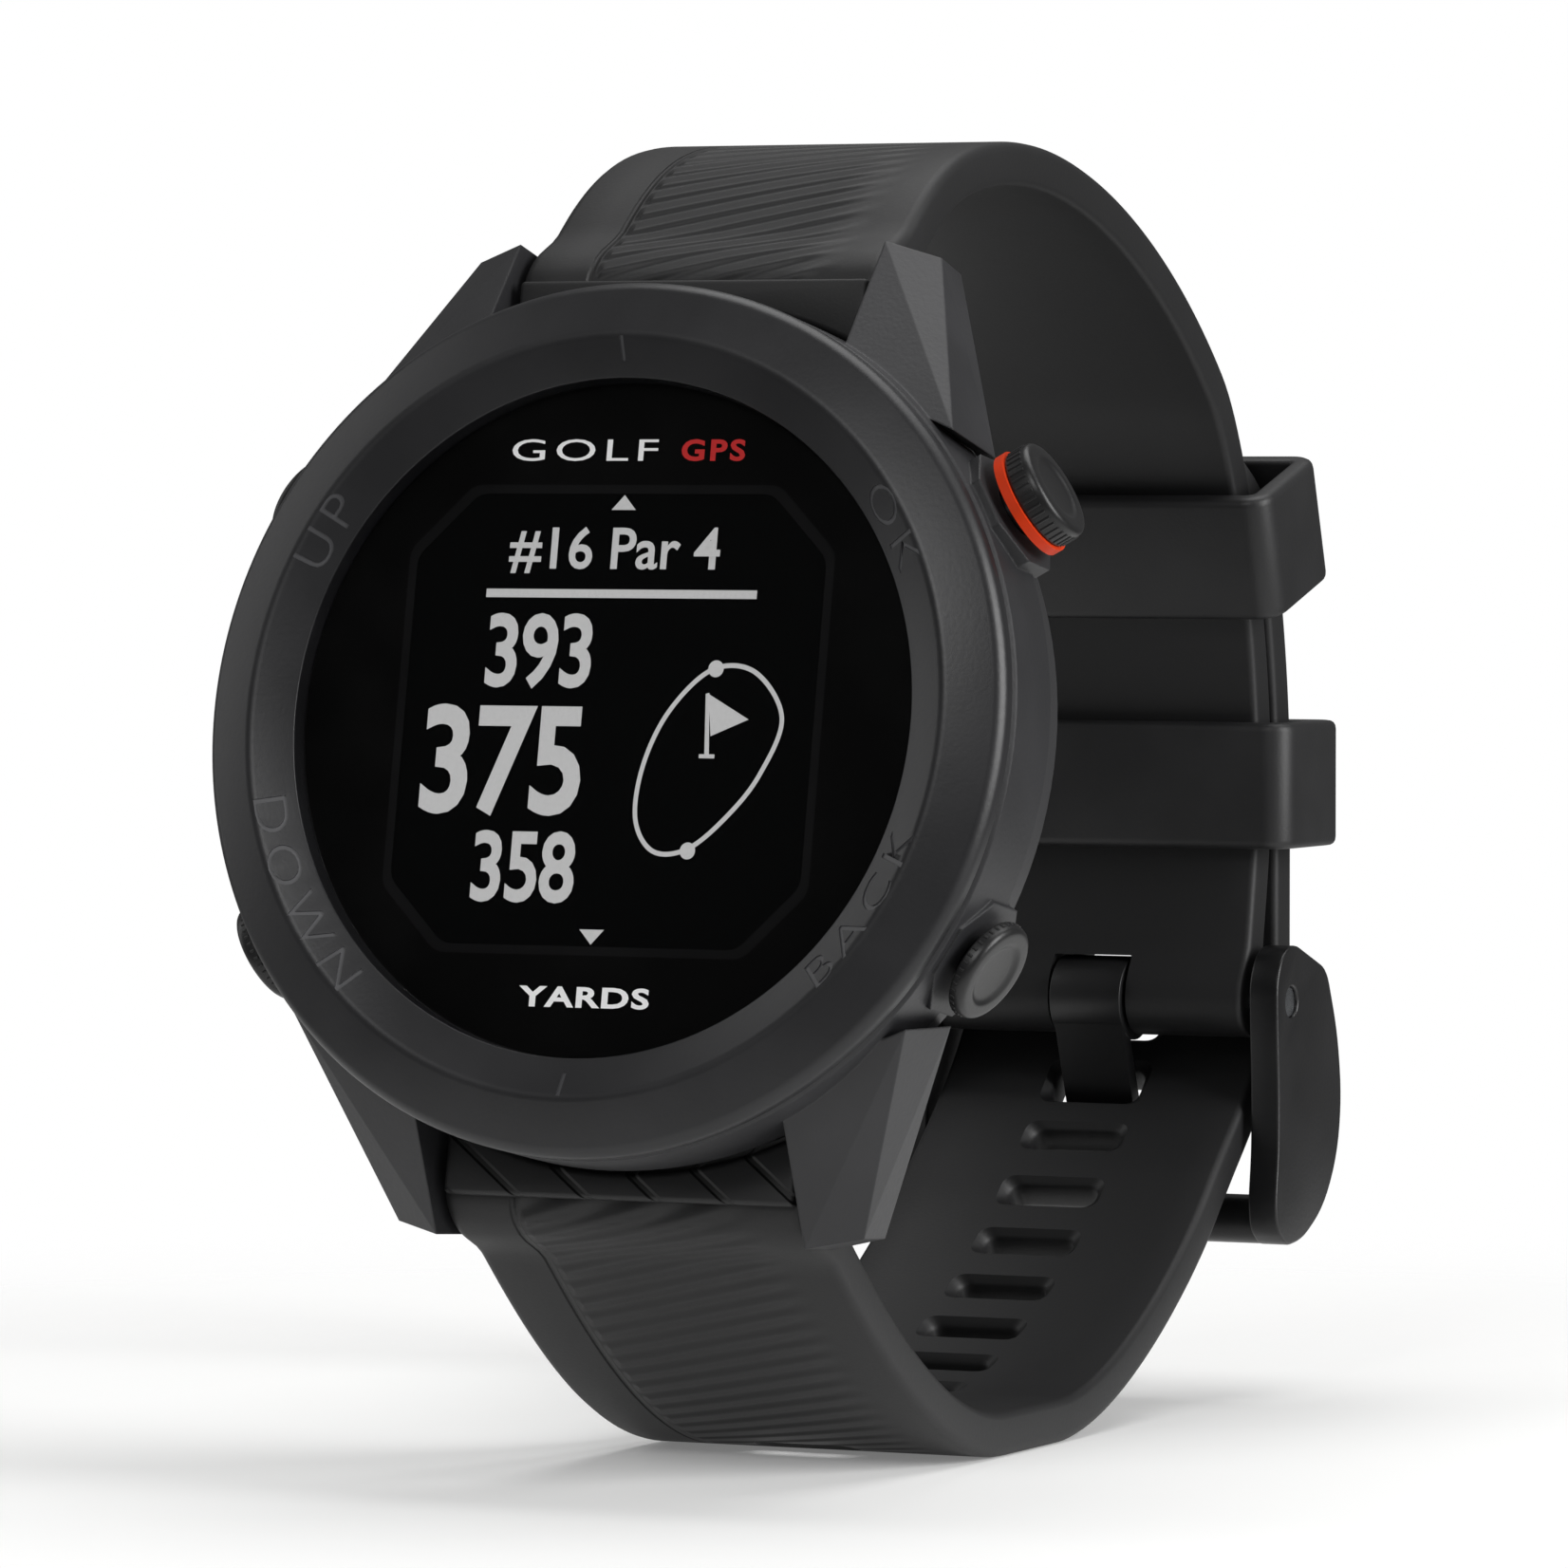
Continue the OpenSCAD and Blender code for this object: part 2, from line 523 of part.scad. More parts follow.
module upper_strap() color("#262627") loop_frame() difference() {
    union() {
        band(upper_run);
        cross_rod(upper_bar, barrel_r, -strap_w / 2, strap_w / 2);
        cross_rod(buckle_at, barrel_r, -strap_end_w / 2, strap_end_w / 2);
    }
    bar_room(upper_bar, upper_knob_dir);
    cross_rod(buckle_at, buckle_bar_d / 2 + run_gap, -strap_w, strap_w);
    // Cut-out for the tongue's eye
    translate([-tongue_w / 2 - 0.35, buckle_at[0] - 6, buckle_at[1] - 4])
        cube([tongue_w + 0.7, 12, 4 + tongue_eye_r + 0.7]);
}

// An adjusting slot with pointed ends, cut square to the strap
module slot(s) {
    p = lower_at(s);
    d = lower_dir(s);
    translate([0, p[0], p[1]]) rotate([atan2(d[1], d[0]), 0, 0]) translate([0, 0, -strap_t])
        linear_extrude(2 * strap_t) polygon([
            [-slot_w / 2, 0], [-slot_w / 2 + slot_l / 2, slot_l / 2],
            [slot_w / 2 - slot_l / 2, slot_l / 2], [slot_w / 2, 0],
            [slot_w / 2 - slot_l / 2, -slot_l / 2], [-slot_w / 2 + slot_l / 2, -slot_l / 2]]);
}

module lower_strap() color("#262627") loop_frame() difference() {
    union() {
        band(lower_run);
        cross_rod(lower_bar, barrel_r, -strap_w / 2, strap_w / 2);
    }
    bar_room(lower_bar, lower_knob_dir);
    for (k = [-slots_before : slots_after]) slot(buckled_s + k * slot_pitch);
}

// ---- Spring bars with a quick-release tip ----
tube_bore = bar_r - 0.3;
plug_in = 6.6;
module bar_tube(at, dir) difference() {
    cross_rod(at, bar_r, -tube_half, tube_half);
    cross_rod(at, tube_bore, -strap_w, strap_w);
    translate([knob_x - release_travel - 0.6, at[0], at[1]])
        rotate([atan2(dir[1], dir[0]), 0, 0]) translate([0, 0, -0.55])
        cube([release_travel + 1.2, 3, 1.1]);
}
module fixed_tip(at) union() {
    cross_rod(at, tip_r, -tip_reach, -tube_half + 1);
    cross_rod(at, tube_bore - 0.01, -tube_half, -plug_in);
}
module release_tip(at, dir) union() {
    cross_rod(at, tip_r, tube_half - 0.5, tip_reach);
    cross_rod(at, tube_bore - 0.03, knob_x - 0.6, tube_half + 0.2);
    translate([knob_x, at[0], at[1]]) rotate([atan2(dir[1], dir[0]), 0, 0]) rotate([-90, 0, 0])
        cylinder(r = 0.45, h = barrel_r + 0.9, $fn = 32);
    translate([knob_x, at[0], at[1]]) rotate([atan2(dir[1], dir[0]), 0, 0])
        translate([0, barrel_r + 0.4, 0]) rotate([-90, 0, 0])
        cylinder(r = 0.7, h = 0.8, $fn = 32);
}
// A coil of round wire, at the length that the drawn-back tip leaves it
coil_turns = 9;
coil_sides = 5;
coil_per_turn = 8;
module bar_coil(at) {
    wire = 0.1;
    coil_r = tube_bore - 0.05 - wire;
    from_x = -plug_in + 0.15;
    to_x = knob_x - 0.6 - release_travel - 0.15;
    count = coil_turns * coil_per_turn;
    points = [for (i = [0 : count]) for (j = [0 : coil_sides - 1])
        let (a = i * 360 / coil_per_turn, b = j * 360 / coil_sides,
             r = coil_r + wire * cos(b), x = from_x + wire + (to_x - from_x - 2 * wire) * i / count
                 + wire * sin(b))
        [x, at[0] + r * cos(a), at[1] + r * sin(a)]];
    walls = [for (i = [0 : count - 1]) for (j = [0 : coil_sides - 1])
        let (a = i * coil_sides + j, b = i * coil_sides + (j + 1) % coil_sides)
        [a, a + coil_sides, b + coil_sides, b]];
    polyhedron(points, concat(walls, [[for (j = [0 : coil_sides - 1]) j],
        [for (j = [0 : coil_sides - 1]) count * coil_sides + coil_sides - 1 - j]]));
}

module upper_bar_tube() color("#8e9195") loop_frame() bar_tube(upper_bar, upper_knob_dir);
module upper_bar_fixed_tip() color("#a9acaf") loop_frame() fixed_tip(upper_bar);
module upper_bar_release_tip() color("#a9acaf") loop_frame()
    release_tip(upper_bar, upper_knob_dir);
module upper_bar_spring() color("#b9bcbf") loop_frame() bar_coil(upper_bar);
module lower_bar_tube() color("#8e9195") loop_frame() bar_tube(lower_bar, lower_knob_dir);
module lower_bar_fixed_tip() color("#a9acaf") loop_frame() fixed_tip(lower_bar);
module lower_bar_release_tip() color("#a9acaf") loop_frame()
    release_tip(lower_bar, lower_knob_dir);
module lower_bar_spring() color("#b9bcbf") loop_frame() bar_coil(lower_bar);

// ---- Buckle ----
// Side outline of an arm, from the eye down to the crossbar, hugging the strap
module arm_outline() translate(buckle_at) polygon([
    [-2.1, 1.2], [-1.2, 2.7], [0.4, 3.2], [5.0, 1.6], [6.6, -2.0], [arm_deep, -5.6], [6.6, -8.8],
    [4.6, -11.6], [1.6, -13.1], [-0.6, -13.3], [-1.9, -12.4], [-2.2, -10.9], [-1.8, -8.0],
    [-1.8, -4.6], [-2.0, -1.6]]);
module buckle_frame() color("#202021") loop_frame() difference() {
    union() {
        slab(arm_in, arm_out) arm_outline();
        slab(-arm_out, -arm_in) arm_outline();
        cross_rod(buckle_at + crossbar_at, crossbar_d / 2, -arm_in - skin, arm_in + skin);
    }
    cross_rod(buckle_at, buckle_bar_d / 2 + run_gap, -arm_out - 1, arm_out + 1);
}

module buckle_bar() color("#6f7276") loop_frame()
    cross_rod(buckle_at, buckle_bar_d / 2, -arm_out + 0.2, arm_out - 0.2);

module buckle_tongue() color("#202021") loop_frame() difference() {
    union() {
        cross_rod(buckle_at, tongue_eye_r, -tongue_w / 2, tongue_w / 2);
        slab(-tongue_w / 2, tongue_w / 2) translate(tongue_from) rotate(tongue_turn)
            translate([-tongue_t / 2, -tongue_l]) square([tongue_t, tongue_l]);
    }
    cross_rod(buckle_at, buckle_bar_d / 2 + run_gap, -strap_w, strap_w);
}

// ---- Keepers ----
module keeper(at, dir) translate([0, at[0], at[1]])
    rotate([atan2(dir[1], dir[0]) + 90, 0, 0]) difference() {
    wall_y = keeper_hole_t / 2 + keeper_wall;
    wall_x = keeper_half_w + keeper_wall;
    translate([0, 0, -keeper_w / 2]) linear_extrude(keeper_w) polygon([
        [-wall_x + 0.6, -wall_y], [wall_x - 0.6, -wall_y], [wall_x, -wall_y + 0.6],
        [wall_x, wall_y - 0.6], [wall_x - 0.6, wall_y], [-wall_x + 0.6, wall_y],
        [-wall_x, wall_y - 0.6], [-wall_x, -wall_y + 0.6]]);
    translate([-keeper_half_w, -keeper_hole_t / 2, -keeper_w])
        cube([2 * keeper_half_w, keeper_hole_t, 2 * keeper_w]);
}
module upper_keeper() color("#28282a") loop_frame() keeper(upper_keeper_at, upper_keeper_dir);
module lower_keeper() color("#28282a") loop_frame() keeper(lower_keeper_at, [0, -1]);

bezel();
cover_lens();
lens_adhesive();
display_panel();
display_light_guide();
display_flex();
inner_frame();
main_board();
gps_antenna();
battery();
case_body();
case_gasket();
back_cover();
back_gasket();
back_screws();
contact_block();
charging_contacts();
ok_button();
ok_accent_ring();
ok_seal();
ok_clip();
ok_plunger();
ok_switch();
back_button();
back_seal();
back_clip();
back_plunger();
back_switch();
up_button();
up_seal();
up_clip();
up_plunger();
up_switch();
down_button();
down_seal();
down_clip();
down_plunger();
down_switch();
upper_strap();
lower_strap();
upper_bar_tube();
upper_bar_fixed_tip();
upper_bar_release_tip();
upper_bar_spring();
lower_bar_tube();
lower_bar_fixed_tip();
lower_bar_release_tip();
lower_bar_spring();
buckle_frame();
buckle_bar();
buckle_tongue();
upper_keeper();
lower_keeper();
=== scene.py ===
import bpy, bmesh, math
from mathutils import Matrix, Vector


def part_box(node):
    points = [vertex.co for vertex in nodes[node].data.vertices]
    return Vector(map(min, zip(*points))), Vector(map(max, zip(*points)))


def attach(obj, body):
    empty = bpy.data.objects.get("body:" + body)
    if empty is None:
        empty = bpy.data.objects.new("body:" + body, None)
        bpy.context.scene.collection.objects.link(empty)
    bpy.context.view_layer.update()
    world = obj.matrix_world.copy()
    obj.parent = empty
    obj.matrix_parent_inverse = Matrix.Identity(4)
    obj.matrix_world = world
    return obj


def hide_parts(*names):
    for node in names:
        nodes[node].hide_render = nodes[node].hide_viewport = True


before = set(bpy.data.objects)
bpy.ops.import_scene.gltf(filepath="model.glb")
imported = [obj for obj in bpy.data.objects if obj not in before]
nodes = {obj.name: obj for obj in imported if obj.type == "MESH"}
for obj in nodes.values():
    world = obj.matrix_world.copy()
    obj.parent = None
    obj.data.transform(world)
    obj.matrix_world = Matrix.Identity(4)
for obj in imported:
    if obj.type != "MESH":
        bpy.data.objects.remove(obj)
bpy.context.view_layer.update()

MM = 0.001

# ---- The loop's own frame ----
# The lens is a flat disc that leans back on the closed strap. Its face gives the head's place,
# and every length below is in millimetres from the middle of that face.
LEAN = math.radians(10.6)
LENS_T = 1.0
low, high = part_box("cover_lens")
OUT = Vector((0, -math.cos(LEAN), math.sin(LEAN)))
glass = (low + high) / 2 + OUT * (LENS_T / 2 * MM)
HEAD = Matrix.Translation(glass) @ Matrix.Rotation(math.pi / 2 - LEAN, 4, "X") @ Matrix.Scale(MM, 4)
LOOP = Matrix.Translation(glass) @ Matrix.Scale(MM, 4)

# ---- Camera ----
# A long lens a little above the table, from the right of the face. It looks at a point to the
# right of the head and below its middle, so that head and buckle both fit.
camera_az, camera_el, camera_far = math.radians(25.77), math.radians(2.01), 467
AIM_RIGHT, AIM_UP = 9.156, -3.33
aim = LOOP @ Vector((AIM_RIGHT * math.cos(camera_az), AIM_RIGHT * math.sin(camera_az), AIM_UP))
to_camera = Vector((math.sin(camera_az) * math.cos(camera_el),
                    -math.cos(camera_az) * math.cos(camera_el), math.sin(camera_el)))
camera_data = bpy.data.cameras.new("camera")
camera_data.lens, camera_data.sensor_width, camera_data.clip_start = 217.9, 36, 0.01
camera = bpy.data.objects.new("camera", camera_data)
camera.location = aim + to_camera * camera_far * MM
camera.rotation_euler = to_camera.to_track_quat("Z", "Y").to_euler()
bpy.context.scene.collection.objects.link(camera)
bpy.context.scene.camera = camera

# ---- Table and light ----
# A pale table under a soft overhead panel, a tall panel on each side and a faint one in front.
# They all point at the middle of the loop. The table's edge fades into the white behind.
LOOK_AT = Vector((0, 0, 0.035))


def soft_panel(name, place, size, watts):
    lamp = bpy.data.lights.new(name, "AREA")
    lamp.shape, lamp.size, lamp.size_y, lamp.energy = "RECTANGLE", size[0], size[1], watts
    panel = bpy.data.objects.new(name, lamp)
    panel.location = Vector(place)
    panel.rotation_euler = (Vector(place) - LOOK_AT).to_track_quat("Z", "Y").to_euler()
    bpy.context.scene.collection.objects.link(panel)


soft_panel("overhead_panel", (0.02, 0.12, 0.55), (0.5, 0.4), 1.7)
soft_panel("right_panel", (0.6, -0.04, 0.22), (0.3, 0.5), 4.0)
soft_panel("left_panel", (-0.5, -0.12, 0.22), (0.22, 0.5), 0.45)
soft_panel("front_panel", (0.03, -0.55, 0.35), (0.25, 0.18), 1.0)

world = bpy.data.worlds.new("studio")
bpy.context.scene.world = world
world.use_nodes = True
air = world.node_tree
air.nodes.clear()
seen = air.nodes.new("ShaderNodeBackground")
lit = air.nodes.new("ShaderNodeBackground")
rays = air.nodes.new("ShaderNodeLightPath")
pick = air.nodes.new("ShaderNodeMixShader")
ends = air.nodes.new("ShaderNodeOutputWorld")
seen.inputs["Color"].default_value = (1, 1, 1, 1)
seen.inputs["Strength"].default_value = 1.0
lit.inputs["Color"].default_value = (1, 1, 1, 1)
lit.inputs["Strength"].default_value = 0.15
air.links.new(rays.outputs["Is Camera Ray"], pick.inputs[0])
air.links.new(lit.outputs[0], pick.inputs[1])
air.links.new(seen.outputs[0], pick.inputs[2])
air.links.new(pick.outputs[0], ends.inputs["Surface"])
bpy.context.scene.view_settings.view_transform = "Standard"


class Wire:
    """One node output, on which shader maths is written as a Python expression."""
    def __init__(self, tree, socket):
        self.tree, self.socket = tree, socket

    def math(self, operation, a, b=None):
        made = self.tree.nodes.new("ShaderNodeMath")
        made.operation = operation
        for at, value in enumerate((a, b)):
            if isinstance(value, Wire):
                self.tree.links.new(value.socket, made.inputs[at])
            elif value is not None:
                made.inputs[at].default_value = value
        return Wire(self.tree, made.outputs[0])

    def __add__(self, other):
        return self.math("ADD", self, other)

    def __radd__(self, other):
        return self.math("ADD", other, self)

    def __sub__(self, other):
        return self.math("SUBTRACT", self, other)

    def __rsub__(self, other):
        return self.math("SUBTRACT", other, self)

    def __mul__(self, other):
        return self.math("MULTIPLY", self, other)

    def __rmul__(self, other):
        return self.math("MULTIPLY", other, self)

    def __abs__(self):
        return self.math("ABSOLUTE", self)

    def wave(self):
        return self.math("SINE", self)

    def fraction(self):
        return self.math("FRACT", self)

    def root(self):
        return self.math("SQRT", self)

    def step(self, start, end):
        """0 before start, 1 after end, and smooth between them."""
        made = self.tree.nodes.new("ShaderNodeMapRange")
        made.interpolation_type = "SMOOTHSTEP"
        self.tree.links.new(self.socket, made.inputs["Value"])
        made.inputs["From Min"].default_value, made.inputs["From Max"].default_value = start, end
        return Wire(self.tree, made.outputs[0])


class Finish:
    """A material on a Principled surface, whose steady values are set on its own sockets."""
    def __init__(self, name, colour, rough, **steady):
        self.look = bpy.data.materials.new(name)
        self.look.use_nodes = True
        self.tree = self.look.node_tree
        self.surface = self.tree.nodes["Principled BSDF"]
        self.colour = tuple(v / 12.92 if v <= 0.04045 else ((v + 0.055) / 1.055) ** 2.4
                            for v in (int(colour[i:i + 2], 16) / 255 for i in (1, 3, 5)))
        self.look.diffuse_color = self.colour + (1,)
        self.set("Base Color", self.colour + (1,))
        self.set("Roughness", rough)
        for socket, value in steady.items():
            self.set(socket.replace("_", " "), value)
        self.place = self.node("ShaderNodeTexCoord", pick="Object")

    def set(self, socket, value):
        if isinstance(value, Wire):
            self.tree.links.new(value.socket, self.surface.inputs[socket])
        else:
            self.surface.inputs[socket].default_value = value

    def node(self, kind, settings=None, pick=0, **sockets):
        """Any node: its settings first, then the values or links of its sockets."""
        made = self.tree.nodes.new(kind)
        for name, value in (settings or {}).items():
            setattr(made, name, value)
        for name, value in sockets.items():
            name = int(name[1:]) if name[0] == "_" else name.replace("_", " ")
            if isinstance(value, Wire):
                self.tree.links.new(value.socket, made.inputs[name])
            else:
                made.inputs[name].default_value = value
        return Wire(self.tree, made.outputs[pick])

    def split(self, vector):
        """The x, y and z of a vector."""
        parts = self.node("ShaderNodeSeparateXYZ", Vector=vector).socket.node
        return [Wire(self.tree, socket) for socket in parts.outputs]

    def noise(self, grain, detail=2.0, place=None):
        """Noise whose features are about grain millimetres across."""
        return self.node("ShaderNodeTexNoise", Vector=place or self.place, Scale=1 / (grain * MM),
                         Detail=detail)

    def tint(self, mask, other):
        """Mixes the base colour towards another by a mask."""
        mixed = self.node("ShaderNodeMix", {"data_type": "RGBA"}, pick=2, _0=mask,
                          _6=self.colour + (1,), _7=tuple(other) + (1,))
        self.set("Base Color", mixed)

    def bump(self, height, distance, under=None):
        """Raises the surface by height times distance in millimetres."""
        sockets = {"Height": height, "Distance": distance * MM, "Strength": 1.0}
        if under:
            sockets["Normal"] = under
        raised = self.node("ShaderNodeBump", **sockets)
        self.set("Normal", raised)
        return raised


def give(obj, look):
    obj.data.materials.clear()
    obj.data.materials.append(look)


floor_look = Finish("table_top", "#eeeeed", 0.8)
floor_look.set("Emission Color", (1, 1, 1, 1))
floor_look.set("Emission Strength", 0.16)
floor_x, floor_y, floor_z = floor_look.split(floor_look.place)
from_middle = (floor_x * floor_x + floor_y * floor_y).root()
floor_look.set("Alpha", 1 - from_middle.step(0.04, 0.14))
floor_look.set("Roughness", 0.8 + 0.1 * floor_look.noise(4.0))
floor_mesh = bpy.data.meshes.new("table_top")
FLOOR_HALF = 0.3
floor_mesh.from_pydata([(-FLOOR_HALF, -FLOOR_HALF, 0), (FLOOR_HALF, -FLOOR_HALF, 0),
                        (FLOOR_HALF, FLOOR_HALF, 0), (-FLOOR_HALF, FLOOR_HALF, 0)], [], [(0, 1, 2, 3)])
floor = bpy.data.objects.new("table_top", floor_mesh)
bpy.context.scene.collection.objects.link(floor)
give(floor, floor_look.look)

# ---- Bezel ----
# A moulded ring with a bowl inside and a steeper flank outside. Button words and two index
# strokes are sunk into the bowl. It is glued to the case.
CASE_R, LENS_R, RIDGE, BOWL, SEAM = 21.85, 16.9, 1.0, 2.1, 1.3
OPENING_R, SEAT_DEPTH, LEDGE = 15.85, 1.12, 0.5
SKIRT_OUT, SKIRT_IN, SKIRT_DEEP = 18.7, 17.7, 1.3


def moulded(name, colour, rough, grain=0.35, depth=0.012, **steady):
    """A moulded finish: fine spark grain, with faint lighter patches that vary its sheen."""
    made = Finish(name, colour, rough, **steady)
    patches = made.noise(6.0, 3.0)
    lighter = tuple(min(1.0, v * 1.25 + 0.002) for v in made.colour)
    made.tint(patches.step(0.35, 0.7), lighter)
    speckle = made.noise(grain, 3.0)
    made.set("Roughness", rough + 0.10 * (patches - 0.5) + 0.06 * (speckle - 0.5))
    made.bump(speckle, depth)
    return made.look


def as_object(name, mesh, look, place=None):
    """Puts a mesh in the scene with its place baked into its points."""
    if place is not None:
        mesh.transform(place)
        if place.determinant() < 0:
            mesh.flip_normals()
    made = bpy.data.objects.new(name, mesh)
    bpy.context.scene.collection.objects.link(made)
    if look:
        give(made, look)
    return made


def as_mesh(name, shape):
    """Turns a bmesh into a mesh whose faces look outward."""
    bmesh.ops.recalc_face_normals(shape, faces=shape.faces)
    mesh = bpy.data.meshes.new(name)
    shape.to_mesh(mesh)
    shape.free()
    return mesh


def settle(piece, body, stands_for=None):
    """Names the body a piece rides on, and the plain node it stands for."""
    if stands_for:
        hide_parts(stands_for)
    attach(piece, body)


def smooth(mesh, angle=35):
    mesh.shade_smooth()
    mesh.set_sharp_from_angle(angle=math.radians(angle))


def lathe(name, outline, look, place, steps=160, closed=True):
    """Turns an outline of (radius, height) about z. A closed outline makes a ring, an open one
    starts and ends on the axis."""
    shape = bmesh.new()
    rings = []
    for r, z in outline:
        if r < 1e-6:
            rings.append([shape.verts.new((0, 0, z))])
        else:
            rings.append([shape.verts.new((r * math.cos(a), r * math.sin(a), z))
                          for a in (2 * math.pi * k / steps for k in range(steps))])
    pairs = list(zip(rings, rings[1:])) + ([(rings[-1], rings[0])] if closed else [])
    for below, above in pairs:
        for k in range(steps):
            corners = [below[k % len(below)], below[(k + 1) % len(below)],
                       above[(k + 1) % len(above)], above[k % len(above)]]
            distinct = list(dict.fromkeys(corners))
            if len(distinct) > 2:
                shape.faces.new(distinct)
    mesh = as_mesh(name, shape)
    smooth(mesh)
    return as_object(name, mesh, look, place)


def rounded(corners, radius, parts=4, closed=True):
    """Rounds the corners of an outline, each by its own radius."""
    radii = radius if isinstance(radius, (list, tuple)) else [radius] * len(corners)
    points = [Vector(p) for p in corners]
    made = []
    for k, here in enumerate(points):
        if not closed and k in (0, len(points) - 1) or radii[k] <= 0:
            made.append(tuple(here))
            continue
        back, on = points[k - 1] - here, points[(k + 1) % len(points)] - here
        reach = min(radii[k], back.length * 0.49, on.length * 0.49)
        start, end = here + back.normalized() * reach, here + on.normalized() * reach
        for j in range(parts + 1):
            t = j / parts
            made.append(tuple(start * (1 - t) ** 2 + here * 2 * t * (1 - t) + end * t * t))
    return made


def lettering(words, thick=0.0, bold=0.0, spacing=1.0):
    """Upright letters as a mesh, 1 high and centred on the origin, thick along z."""
    face = bpy.data.curves.new("letters", "FONT")
    face.body, face.offset, face.extrude, face.space_character = words, bold, thick / 2, spacing
    face.resolution_u = 4
    holder = bpy.data.objects.new("letters", face)
    bpy.context.scene.collection.objects.link(holder)
    bpy.context.view_layer.update()
    mesh = bpy.data.meshes.new_from_object(
        holder.evaluated_get(bpy.context.evaluated_depsgraph_get()))
    bpy.data.objects.remove(holder)
    xs, ys = [v.co.x for v in mesh.vertices], [v.co.y for v in mesh.vertices]
    tall = max(ys) - min(ys)
    for v in mesh.vertices:
        v.co.x = (v.co.x - (max(xs) + min(xs)) / 2) / tall
        v.co.y = (v.co.y - (max(ys) + min(ys)) / 2) / tall
    return mesh


def cut(target, tool, tangled=False):
    """Takes one closed solid out of another. Tangled tools may cross themselves."""
    taking = target.modifiers.new("cut", "BOOLEAN")
    taking.operation, taking.solver, taking.object = "DIFFERENCE", "EXACT", tool
    taking.use_self, taking.material_mode = tangled, "TRANSFER"
    result = bpy.data.meshes.new_from_object(
        target.evaluated_get(bpy.context.evaluated_depsgraph_get()))
    if not result.polygons:
        raise ValueError(f"cutting {tool.name} left nothing of {target.name}")
    target.modifiers.clear()
    target.data = result
    bpy.data.objects.remove(tool)


bezel_look = moulded("bezel_plastic", "#19191b", 0.40, grain=0.22, depth=0.006)
bezel_outline = rounded([
    (OPENING_R, -SEAM - LEDGE), (OPENING_R, -SEAT_DEPTH), (LENS_R + 0.05, -SEAT_DEPTH),
    (LENS_R + 0.05, 0), (LENS_R + BOWL, RIDGE), (CASE_R - 0.3, 0.0), (CASE_R, -0.45),
    (CASE_R, -SEAM + 0.2), (CASE_R - 0.35, -SEAM), (SKIRT_OUT, -SEAM),
    (SKIRT_OUT, -SEAM - SKIRT_DEEP), (SKIRT_IN, -SEAM - SKIRT_DEEP), (SKIRT_IN, -SEAM - LEDGE)],
    [0, 0, 0, 0.08, 0.3, 0.25, 0.2, 0.12, 0.1, 0, 0, 0, 0], parts=5)
bezel = lathe("bezel_ring", bezel_outline, bezel_look, None, steps=240)
slope = math.atan2(RIDGE, BOWL)


def on_bowl(mesh, angle, radius, tall, wide, upward):
    """Bends flat letters round the bowl, their feet towards or away from the middle."""
    turn = 1 if upward else -1
    for v in mesh.vertices:
        along, across, deep = v.co.x * wide, v.co.y * tall * turn, v.co.z
        a = angle - turn * along / radius
        r = radius + across * math.cos(slope) - deep * math.sin(slope)
        z = (radius - LENS_R) * RIDGE / BOWL + across * math.sin(slope) + deep * math.cos(slope)
        v.co = (r * math.cos(a), r * math.sin(a), z)


WORD_R, STROKE_R, WORD_TALL, WORD_WIDE, WORD_DEEP = LENS_R + 1.3, LENS_R + 1.4, 1.7, 2.05, 0.16
engraved_look = moulded("engraved_plastic", "#48484a", 0.45, grain=0.2, depth=0.004)
tools = []
for words, degrees, upward in (("UP", 150, True), ("DOWN", 211, False), ("OK", 31.4, True),
                               ("BACK", -31, False)):
    letters = lettering(words, thick=WORD_DEEP, bold=-0.008, spacing=1.25)
    on_bowl(letters, math.radians(degrees), WORD_R, WORD_TALL, WORD_WIDE, upward)
    tools.append(letters)
for degrees in (90, 270):
    shape = bmesh.new()
    bmesh.ops.create_cube(shape, size=1.0, matrix=Matrix.Diagonal((0.2, 0.8, WORD_DEEP, 1.0)))
    stroke = as_mesh("stroke", shape)
    on_bowl(stroke, math.radians(degrees), STROKE_R, WORD_TALL, 1.0, True)
    tools.append(stroke)
for number, mesh in enumerate(tools):
    shape = bmesh.new()
    shape.from_mesh(mesh)
    bmesh.ops.remove_doubles(shape, verts=shape.verts, dist=1e-5)
    tool = as_object(f"engraver_{number}", as_mesh(f"engraver_{number}", shape), engraved_look)
    cut(bezel, tool, tangled=True)
bezel.data.validate()
bezel.data.transform(HEAD)
smooth(bezel.data)
settle(bezel, "root", "bezel")

# ---- Lens and dial ----
# A flat mineral lens over a black printed mask with an eight-sided window. The numerals lie on
# the display under it.
lens = Finish("lens_glass", "#020203", 0.035, IOR=1.5, Specular_IOR_Level=0.22)
smear = lens.noise(9.0, 3.0)
lens.set("Roughness", 0.03 + 0.05 * smear.step(0.45, 0.75))
lens.set("Alpha", 0.10 + 0.03 * smear)
give(nodes["cover_lens"], lens.look)

PRINT_N = -0.985


def flat_piece(name, mesh, look):
    """A print or a lit shape, in the head's own frame."""
    settle(as_object(name, mesh, look, HEAD), "root")


